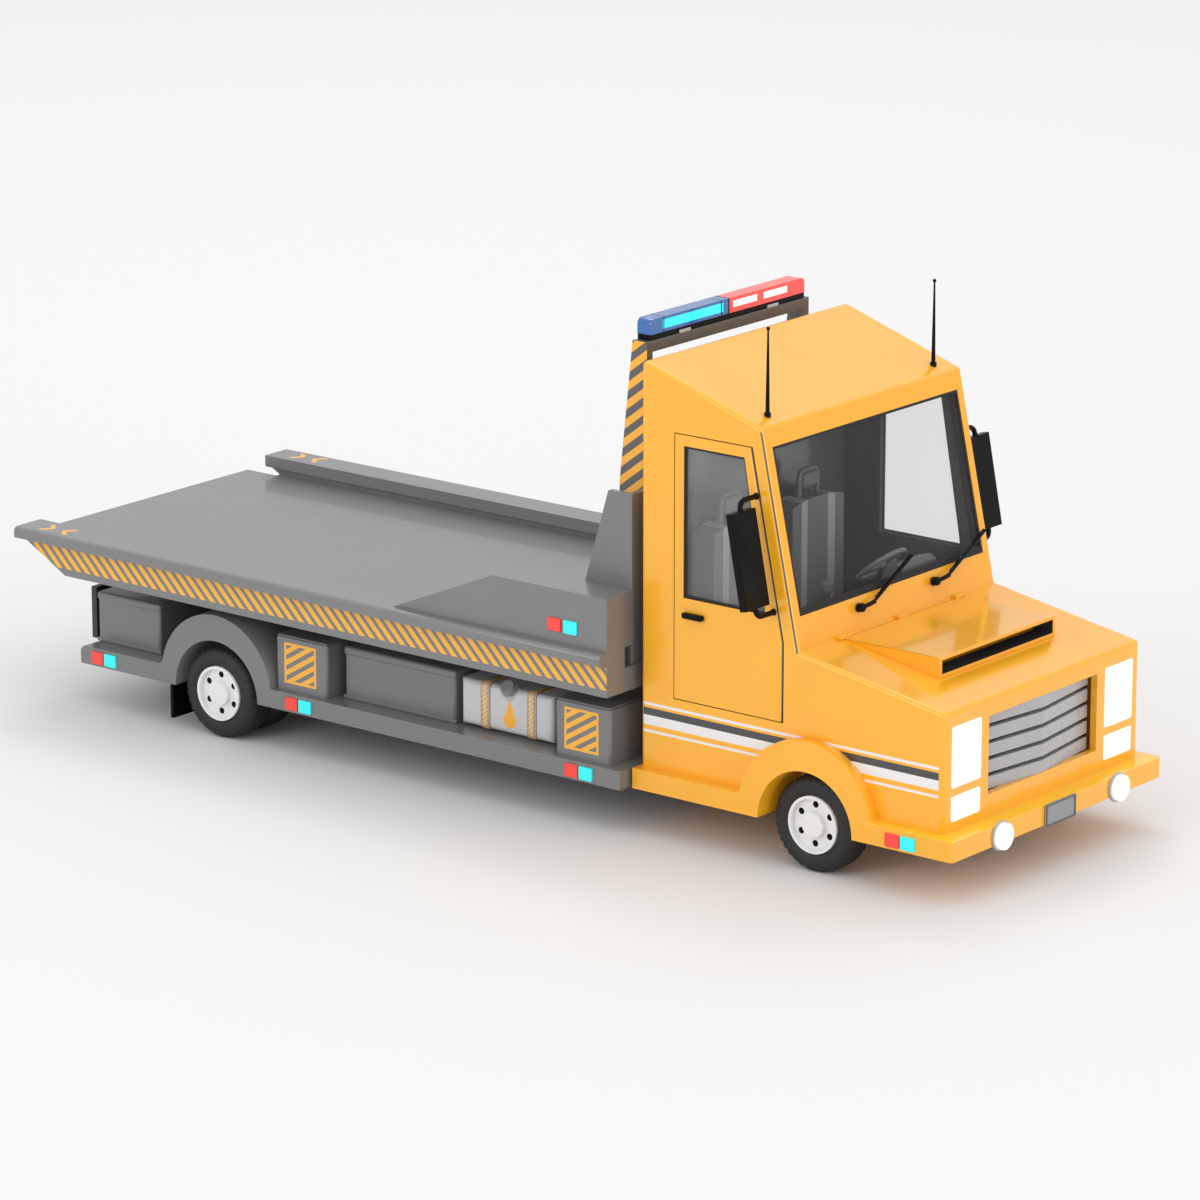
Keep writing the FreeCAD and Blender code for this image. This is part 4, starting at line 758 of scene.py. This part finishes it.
def tyre(name, centre_x, low, high, side, material, body):
    """A tyre from low to high across the truck, with a bulged wall, notched shoulders and
    three tread grooves."""
    shoulder = ((0.9, 0.5), (0.15, 1.5))  # (below the tread, in from the wall)
    wall = ((RIM_RADIUS, 0.8), (9.0, 0.25), (10.2, 0.0), (11.6, 0.02))  # (radius, in)
    groove_depth, groove_floor, groove_mouth, groove_place = 0.45, 0.3, 0.45, 3.0
    notch_depth, notch_pitch, turns = 0.5, 4, 144
    floor_radius = TYRE_RADIUS - groove_depth
    tread = [(TYRE_RADIUS - drop, low + inward) for drop, inward in shoulder]
    for station in (low + groove_place, (low + high) / 2, high - groove_place):
        tread += [
            (TYRE_RADIUS, station - groove_mouth), (floor_radius, station - groove_floor),
            (floor_radius, station + groove_floor), (TYRE_RADIUS, station + groove_mouth),
        ]
    tread += [(TYRE_RADIUS - drop, high - inward) for drop, inward in reversed(shoulder)]
    profile = tread + [(radius, high - inward) for radius, inward in reversed(wall)]
    profile += [(radius, low + inward) for radius, inward in wall]
    notched = {0, 1, len(tread) - 2, len(tread) - 1}

    def notch(turn, row):
        return notch_depth if row in notched and turn % notch_pitch == 0 else 0.0

    centre = (centre_x, 0, TYRE_RADIUS)
    obj = lathe(name, profile, centre, (0, side, 0), turns, notch, closed=True)
    return dress(obj, material, body)


def wheels(rubber, white):
    """Tyres, and on each rim a hub cap and a lip; the profiles start at the rim's face."""
    hub = [(3.2, -0.9), (3.2, -0.35), (2.9, -0.05), (1.5, -0.05), (1.3, -0.3), (0.3, -0.3)]
    lip = [(7.35, -0.5), (7.35, -0.1), (7.6, 0.0), (7.95, -0.1), (8.05, -0.5)]
    width, rear_width, inner_face = 10.0, 9.5, 42.5
    for name, side in SIDES:
        piece = tyre(f"tyre_front_{name}", FRONT_AXLE_X, FRONT_FACE - width, FRONT_FACE, side,
                     rubber, "front_wheels")
        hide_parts(f"front_tyre_{name}")
        outer = tyre(f"tyre_rear_outer_{name}", REAR_AXLE_X, REAR_FACE - rear_width, REAR_FACE,
                     side, rubber, "rear_wheels")
        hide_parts(f"rear_tyres_{name}")
        tyre(f"tyre_rear_inner_{name}", REAR_AXLE_X, inner_face - rear_width, inner_face, side,
             rubber, "rear_wheels")
        for place, axle_x, face in (
            ("front", FRONT_AXLE_X, FRONT_FACE), ("rear", REAR_AXLE_X, REAR_FACE),
        ):
            centre, axis = (axle_x, side * face, TYRE_RADIUS), (0, side, 0)
            cap = lathe(f"hub_{place}_{name}", hub, centre, axis)
            dress(cap, white, f"{place}_wheels")
            ring = lathe(f"rim_lip_{place}_{name}", lip, centre, axis, closed=True)
            dress(ring, white, f"{place}_wheels")


def seats(cloth, frame_grey):
    """Moulded seats with a crowned, fluted back, a dished cushion and a loop headrest."""
    half, edge = 12, 1.8
    for name, side in SIDES:
        floor_z = millimetres(f"seat_{name}")[0].z
        middle = side * SEAT_MIDDLE
        right, left = middle - half, middle + half
        back = crowned(f"seat_back_{name}", (66, right, 44), (73.5, left, 83.4), 1.6, middle)
        dress(back, cloth, "chassis", edge)
        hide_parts(f"seat_{name}")
        low, high = (66.5, right, 38), (93, left, 47.2)
        cushion = crowned(f"seat_cushion_{name}", low, high, 0.8, middle)
        dress(cushion, cloth, "chassis", edge)
        low, high = (68, middle - 10, floor_z), (90, middle + 10, 38.4)
        slab(f"seat_base_{name}", low, high, frame_grey, "chassis", 1.0)
        loop_x, loop_half, loop_low, loop_high = 69.7, 4.2, 80, 92.2
        loop = [
            (loop_x, middle - loop_half, loop_low), (loop_x, middle - loop_half, loop_high),
            (loop_x, middle + loop_half, loop_high), (loop_x, middle + loop_half, loop_low),
        ]
        tube(f"headrest_{name}", loop, 0.75, frame_grey, "chassis", 2.4)
        low, high = (68.4, middle - 3.4, 87.2), (71.0, middle + 3.4, 91.4)
        slab(f"headrest_pad_{name}", low, high, cloth, "chassis", 0.8)


def crowned(name, low, high, crown, middle, cuts=17):
    """A block whose top swells, with two shallow channels along its front."""
    channel_place, channel_width, channel_depth = 5.0, 0.7, 0.45
    front = 0.45  # of the unit cube's half side: only the front face lies beyond it
    low, high = Vector(low), Vector(high)
    shape = bmesh.new()
    bmesh.ops.create_cube(shape, size=1.0)
    bmesh.ops.subdivide_edges(shape, edges=shape.edges[:], cuts=cuts, use_grid_fill=True)
    centre, size = (low + high) / 2, high - low
    for vert in shape.verts:
        part = Vector(vert.co)
        place = centre + part * size
        across = 1 - (2 * part.y) ** 2
        place.z += crown * across * max(0.0, part.z * 2)
        if part.x > front:
            away = abs(place.y - middle) - channel_place
            place.x -= channel_depth * math.exp(-(away / channel_width) ** 2)
        vert.co = place * MM
    mesh = bpy.data.meshes.new(name)
    shape.to_mesh(mesh)
    shape.free()
    return new_object(name, mesh)


def steering(material):
    """Round ring, three spokes, a dished hub and the column."""
    tilt = math.radians(50)
    ring_radius, bar_radius, spoke_radius = 7.5, 0.75, 0.55
    body = "steering_wheel"
    axis = Vector((-math.cos(tilt), 0, math.sin(tilt)))
    side = Vector((0, 1, 0))
    down = side.cross(axis)
    centre = Vector((94, 20, 68))
    angles = [math.pi * step / 6 for step in range(12)]
    section = [
        (ring_radius + bar_radius * math.cos(angle), bar_radius * math.sin(angle))
        for angle in angles
    ]
    ring = dress(lathe("steering_ring", section, centre, axis, 64, closed=True), material, body)
    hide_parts("steering_wheel")
    hub = [(1.1, -13.0), (1.1, -1.4), (2.0, -1.2), (2.2, 0.2), (1.7, 0.6), (0.4, 0.7)]
    dress(lathe("steering_hub", hub, centre, axis, 48), material, body)
    for number, way in enumerate((side, -side, down)):
        path = [centre + way * 1.6 - axis * 0.3, centre + way * 4.5 - axis * 0.5]
        path.append(centre + way * 7.4)
        tube(f"steering_spoke_{number}", path, spoke_radius, material, body, 1.0)


def mirror_parts(black, silver):
    """Bent tube brackets with wall flanges, and the mirror glass in its housing."""
    lean = math.radians(11.07)
    mirror_x, mirror_y, mirror_z, wall_y = 103.6, 54.3, 86.6, 46.35
    bracket_height, tube_radius, bend = 33.3, 0.75, 2.6
    half_width, half_height = 4.6, 12.6
    foot = [(0.95, 0.3), (0.95, 0.6), (0.85, 0.85), (0.75, 0.9)]
    outline = [
        (-half_width, -half_height), (half_width, -half_height),
        (half_width, half_height), (-half_width, half_height),
    ]
    glass_faces = [
        (0, 1, 2, 3), (4, 5, 6, 7), (0, 1, 5, 4), (1, 2, 6, 5), (2, 3, 7, 6), (3, 0, 4, 7),
    ]
    up = Vector((-math.sin(lean), 0, math.cos(lean)))
    back = Vector((-math.cos(lean), 0, -math.sin(lean)))
    for name, side in SIDES:
        centre = Vector((mirror_x, side * mirror_y, mirror_z))
        bracket_body = body_of(f"mirror_bracket_{name}")
        reach = bracket_height / 2 - tube_radius
        inward = Vector((0, side * (wall_y - mirror_y), 0))
        ends = [centre + up * reach + inward, centre - up * reach + inward]
        path = [ends[0], centre + up * reach, centre - up * reach, ends[1]]
        piece = tube(f"mirror_tube_{name}", path, tube_radius, black, bracket_body, bend)
        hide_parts(f"mirror_bracket_{name}")
        for number, end in enumerate(ends):
            flange = lathe(f"mirror_foot_{name}_{number}", foot, end, (0, side, 0), 32)
            dress(flange, black, bracket_body)
        place = mirror_place(centre, up, back)
        gasket(f"mirror_frame_{name}", outline, 0.7, place, 0.25, black, f"mirror_{name}")
        corners = inset(outline, 0.6)
        points = [place(corner, level) for level in (-0.3, 0.1) for corner in corners]
        pane = add_mesh(f"mirror_glass_{name}", points, glass_faces)
        dress(pane, silver, f"mirror_{name}", 0.05)


def mirror_place(centre, up, back):
    """Puts (across, up) points on the rear face of a mirror's housing."""
    housing_half = 1.3

    def place(point, level):
        across = Vector((0, point[0], 0))
        return centre + across + up * point[1] + back * (housing_half + level)
    return place


def wiper_parts(black):
    """A boss, a bent arm, a blade and two clips for each wiper."""
    normal = Vector((0.977587, 0, 0.210532))
    up = Vector((-0.210532, 0, 0.977587))
    base_x, base_y, base_z = 113.208, 17.45, 67
    boss = [(0.8, -2.5), (0.8, 0.3), (1.25, 0.4), (1.25, 1.9), (0.95, 2.3), (0.3, 2.3)]
    # Each bar: its name, radius, bend, and (across, up, out) points on the screen's plane.
    bars = (
        ("stub", 0.62, 0.8, ((0, 0, 1.7), (3.0, 0.2, 1.75), (5.8, 0.5, 1.75))),
        ("arm", 0.42, 1.0, ((4.2, 0.3, 1.75), (6.4, 0.9, 1.75), (25.6, 9.15, 1.6))),
        ("blade", 0.38, 3.0, ((7.6, 1.25, 0.95), (16.0, 4.9, 0.75), (26.0, 9.3, 0.95))),
    )
    clip_radius, clip_bend, clip_lean = 0.3, 0.02, 0.1
    for name, side in SIDES:
        base = Vector((base_x, side * base_y, base_z))
        body = f"wiper_{name}"

        def at(along, rise, level):
            return base + Vector((0, along, 0)) + up * rise + normal * level

        piece = dress(lathe(f"wiper_boss_{name}", boss, base, normal, 40), black, body)
        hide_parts(f"wiper_{name}")
        for part, radius, bend, path in bars:
            points = [at(*point) for point in path]
            tube(f"wiper_{part}_{name}", points, radius, black, body, bend)
        for number, (along, rise) in enumerate(((11.0, 2.85), (21.5, 7.4))):
            clip = [at(along, rise, 1.55), at(along + clip_lean, rise, 0.75)]
            tube(f"wiper_clip_{name}_{number}", clip, clip_radius, black, body, clip_bend)


def screen_place(point, level):
    """Puts (y, z) points in the screen's plane; level counts outwards from the glass."""
    glass_recess = 0.42
    lean = (COWL_X - ROOF_FRONT_X) / (ROOF_FRONT_Z - COWL_Z)
    normal = Vector((1, 0, lean)).normalized()
    x = COWL_X - (point[1] - COWL_Z) * lean - glass_recess
    return Vector((x, point[0], point[1])) + normal * level


def rectangle(low_x, low_y, high_x, high_y):
    return [(low_x, low_y), (high_x, low_y), (high_x, high_y), (low_x, high_y)]


def glazing(black):
    """Dark seals round the windscreen and the door windows."""
    inside, foot_height, seal_width, glass_recess = 0.02, 2.0, 0.7, 0.95
    half, low, high = SCREEN_HIGH.y - inside, SCREEN_LOW.z + inside, SCREEN_HIGH.z - inside
    outline = rectangle(-half, low, half, high)
    gasket("screen_seal", outline, 0.85, screen_place, 0.34, black, "chassis")
    foot = rectangle(-half, low, half, low + foot_height)
    gasket("screen_foot", foot, 0.98, screen_place, 0.2, black, "chassis")
    for name, side in SIDES:
        glass_low, glass_high = millimetres(f"door_glass_{name}")
        low_z, high_z = glass_low.z + 0.03, glass_high.z - 0.03
        rear, front, top_front = glass_low.x + 0.03, glass_high.x - 0.05, WINDOW_TOP_FRONT - 0.05
        shape = [(rear, low_z), (front, low_z), (top_front, high_z), (rear, high_z)]
        face = CAB_HALF - glass_recess

        def place(point, level):
            return Vector((point[0], side * (face + level), point[1]))

        gasket(f"window_seal_{name}", shape, seal_width, place, 0.45, black, f"door_{name}")


def box_lids(grey):
    """Lids and foot lips on the boxes that stand on the side skirts."""
    # (name, rear x, front x, outer y, top z) of the boxes on either side
    boxes = (("rear_box", -143.0, -118.0, 47.5, 33.9), ("tool_box", -46.3, -5.0, 47.3, 34.2))
    inner_y, foot_low_z, foot_high_z = 23.0, 18.95, 20.1
    overhang, lid_height, foot_overhang = 0.3, 2.4, 0.35
    for label, rear, front, outer_y, top in boxes:
        for name, side in SIDES:
            right, left = sorted((side * inner_y, side * (outer_y + overhang)))
            lid_low = (rear - 0.25, right, top - lid_height)
            lid_high = (front + 0.25, left, top + overhang)
            slab(f"{label}_lid_{name}", lid_low, lid_high, grey, "chassis", 0.9)
            foot_left = left + 0.1 if side > 0 else left
            foot_low = (rear - foot_overhang, right, foot_low_z)
            foot_high = (front + foot_overhang, foot_left, foot_high_z)
            slab(f"{label}_foot_{name}", foot_low, foot_high, grey, "chassis", 0.3)
    for name, side in SIDES:
        for place, start in SIGN_STARTS:
            right, left = sorted((side * inner_y, side * 51.6))
            low, high = (start + 0.4, right, 34.6), (start + 19.0, left, 35.3)
            slab(f"sign_box_cap_{place}_{name}", low, high, grey, "chassis", 0.3)


def tank_details(band_material, cap_material):
    """Raised striped bands round the tanks and ribbed caps."""
    profile = [
        (1.2, -4.0), (1.2, 0.0), (2.3, 0.05), (2.3, 1.75),
        (2.05, 2.15), (1.2, 2.2), (1.0, 2.0), (0.2, 2.0),
    ]
    ribbed = (2, 3)  # rows of the profile: the cap's rim
    rib_depth, rib_pitch, turns = 0.14, 4, 64
    cap_x, cap_y, cap_z = 14.8, 46.813, 32.313

    def rib(turn, row):
        return rib_depth if row in ribbed and turn % rib_pitch < rib_pitch / 2 else 0.0

    for name, side in SIDES:
        for number, seam in enumerate(TANK_SEAMS):
            band(f"tank_band_{name}_{number}", seam - 3.2, seam - 0.6, side, band_material)
        centre = (cap_x, side * cap_y, cap_z)
        cap = lathe(f"cap_{name}", profile, centre, (0, side, 1), turns, rib)
        dress(cap, cap_material, f"fuel_cap_{name}")
        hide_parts(f"fuel_cap_{name}")


def band(name, start, end, side, material):
    """A strip wrapped round the tank's outer, top and bottom faces."""
    inner, outer, low, high, round_off = 30.0, 47.5, 19.6, 33.0, 1.6
    lift, thickness, steps = 0.16, 0.3, 6
    reach = round_off + lift
    path = [(inner, high + lift)]
    for centre_z, first in ((high - round_off, 90), (low + round_off, 0)):
        for step in range(steps + 1):
            angle = math.radians(first - 90 / steps * step)
            across = outer - round_off + reach * math.cos(angle)
            path.append((across, centre_z + reach * math.sin(angle)))
    path.append((inner, low - lift))
    count = len(path)
    points = [(x, side * y, z) for x in (start, end) for y, z in path]
    faces = [(i, i + 1, count + i + 1, count + i) for i in range(count - 1)]
    obj = add_mesh(name, points, faces)
    thick = obj.modifiers.new("thick", "SOLIDIFY")
    thick.thickness = thickness * MM
    thick.offset = 0.0
    return dress(obj, material, "chassis")


def plate_border(grey):
    low, high = millimetres("front_plate")
    inside, sunk = 0.1, 0.05

    def on_plate(point, level):
        return Vector((high.x - sunk + level, point[0], point[1]))

    outline = rectangle(low.y + inside, low.z + inside, high.y - inside, high.z - inside)
    gasket("plate_border", outline, 0.5, on_plate, 0.3, grey, "chassis")


def fog_details(bezel_grey, ring_white):
    """A bezel round each fog lamp and a raised disc on its lens."""
    bezel = [(3.72, 0.0), (4.15, 0.0), (4.15, 0.5), (3.95, 0.75), (3.72, 0.75)]
    disc = [(3.1, 1.7), (3.1, 1.98), (2.9, 1.99), (1.0, 1.99)]
    lamp_y, lamp_z, turns = 27.84, 15.8, 56
    back_x = millimetres("fog_lamps")[0].x
    for name, side in SIDES:
        centre, axis = (back_x, side * lamp_y, lamp_z), (1, 0, 0)
        piece = lathe(f"fog_bezel_{name}", bezel, centre, axis, turns, closed=True)
        dress(piece, bezel_grey, "chassis")
        dress(lathe(f"fog_ring_{name}", disc, centre, axis, turns), ring_white, "chassis")


def cowl_tabs(yellow):
    """Three small tabs on the line between the hood and the cowl."""
    half = 2.2
    for number, place in enumerate((-27.0, 0.0, 27.0)):
        tab_low, tab_high = (113.9, place - half, 60.75), (116.4, place + half, 61.75)
        slab(f"cowl_tab_{number}", tab_low, tab_high, yellow, "chassis", 0.35)


def bar_details(black, grey):
    """Dividers between the lenses of the light bar and clips on its base."""
    base_low, base_high = millimetres("light_bar_base")
    divider_half, lens_height, clip_half = 0.28, 4.33, 2.5
    for number, place in enumerate((-29.2, -3.4, 0.0)):
        low = (base_low.x - 0.05, place - divider_half, base_high.z)
        high = (base_high.x + 0.05, place + divider_half, base_high.z + lens_height)
        slab(f"bar_divider_{number}", low, high, black, "bed", 0.2)
    for number, place in enumerate((-20.0, 20.0)):
        low = (base_low.x + 0.2, place - clip_half, base_low.z - 0.05)
        high = (base_high.x + 0.35, place + clip_half, base_low.z + 0.9)
        slab(f"bar_foot_{number}", low, high, grey, "bed", 0.2)


# --- camera, lights and floor ---


def studio():
    """Pale floor, a sky that is brighter overhead, and three soft lights."""
    world = bpy.data.worlds.new("studio")
    bpy.context.scene.world = world
    world.use_nodes = True
    tree = world.node_tree
    way = tree.nodes.new("ShaderNodeTexCoord").outputs["Generated"]
    split = tree.nodes.new("ShaderNodeSeparateXYZ")
    tree.links.new(way, split.inputs[0])
    rise = tree.nodes.new("ShaderNodeMapRange")
    tree.links.new(split.outputs["Z"], rise.inputs["Value"])
    rise.inputs["From Min"].default_value = 0.0
    rise.inputs["From Max"].default_value = SKY_TURN
    rise.inputs["To Min"].default_value = SKY_LOW
    rise.inputs["To Max"].default_value = SKY_HIGH
    tree.nodes["Background"].inputs["Color"].default_value = (1, 1, 1, 1)
    tree.links.new(rise.outputs[0], tree.nodes["Background"].inputs["Strength"])
    bpy.ops.mesh.primitive_plane_add(size=FLOOR_SIZE)
    floor = bpy.context.object
    floor.name = "floor"
    graph = Graph("floor_white")
    graph.shader.inputs["Base Color"].default_value = (FLOOR_TONE, FLOOR_TONE, FLOOR_TONE, 1)
    graph.shader.inputs["Roughness"].default_value = 0.8
    graph.shader.inputs["Specular IOR Level"].default_value = 0.1
    floor.data.materials.append(graph.material)
    for name, place, size, power in LIGHTS:
        data = bpy.data.lights.new(name, "AREA")
        data.size = size
        data.energy = power
        lamp = new_object(name, data)
        lamp.location = place
        aim = Vector(LIGHT_TARGET) - Vector(place)
        lamp.rotation_euler = aim.to_track_quat("-Z", "Y").to_euler()


def camera():
    """The photograph's viewing angle, distance and lens."""
    azimuth, elevation = math.radians(38.694), math.radians(15.488)
    target = Vector((9.5, 0.0, 47.45)) * MM
    distance = 1671.1 * MM
    back = Vector((
        math.sin(azimuth) * math.cos(elevation),
        -math.cos(azimuth) * math.cos(elevation),
        math.sin(elevation),
    ))
    data = bpy.data.cameras.new("camera")
    data.lens = 175.4
    data.sensor_width = 36
    data.clip_start = 0.05
    obj = new_object("camera", data)
    obj.location = target + back * distance
    obj.rotation_euler = (-back).to_track_quat("-Z", "Y").to_euler()
    bpy.context.scene.camera = obj


bpy.context.scene.view_settings.view_transform = "Standard"
dress_nodes()
make_pieces()
studio()
camera()
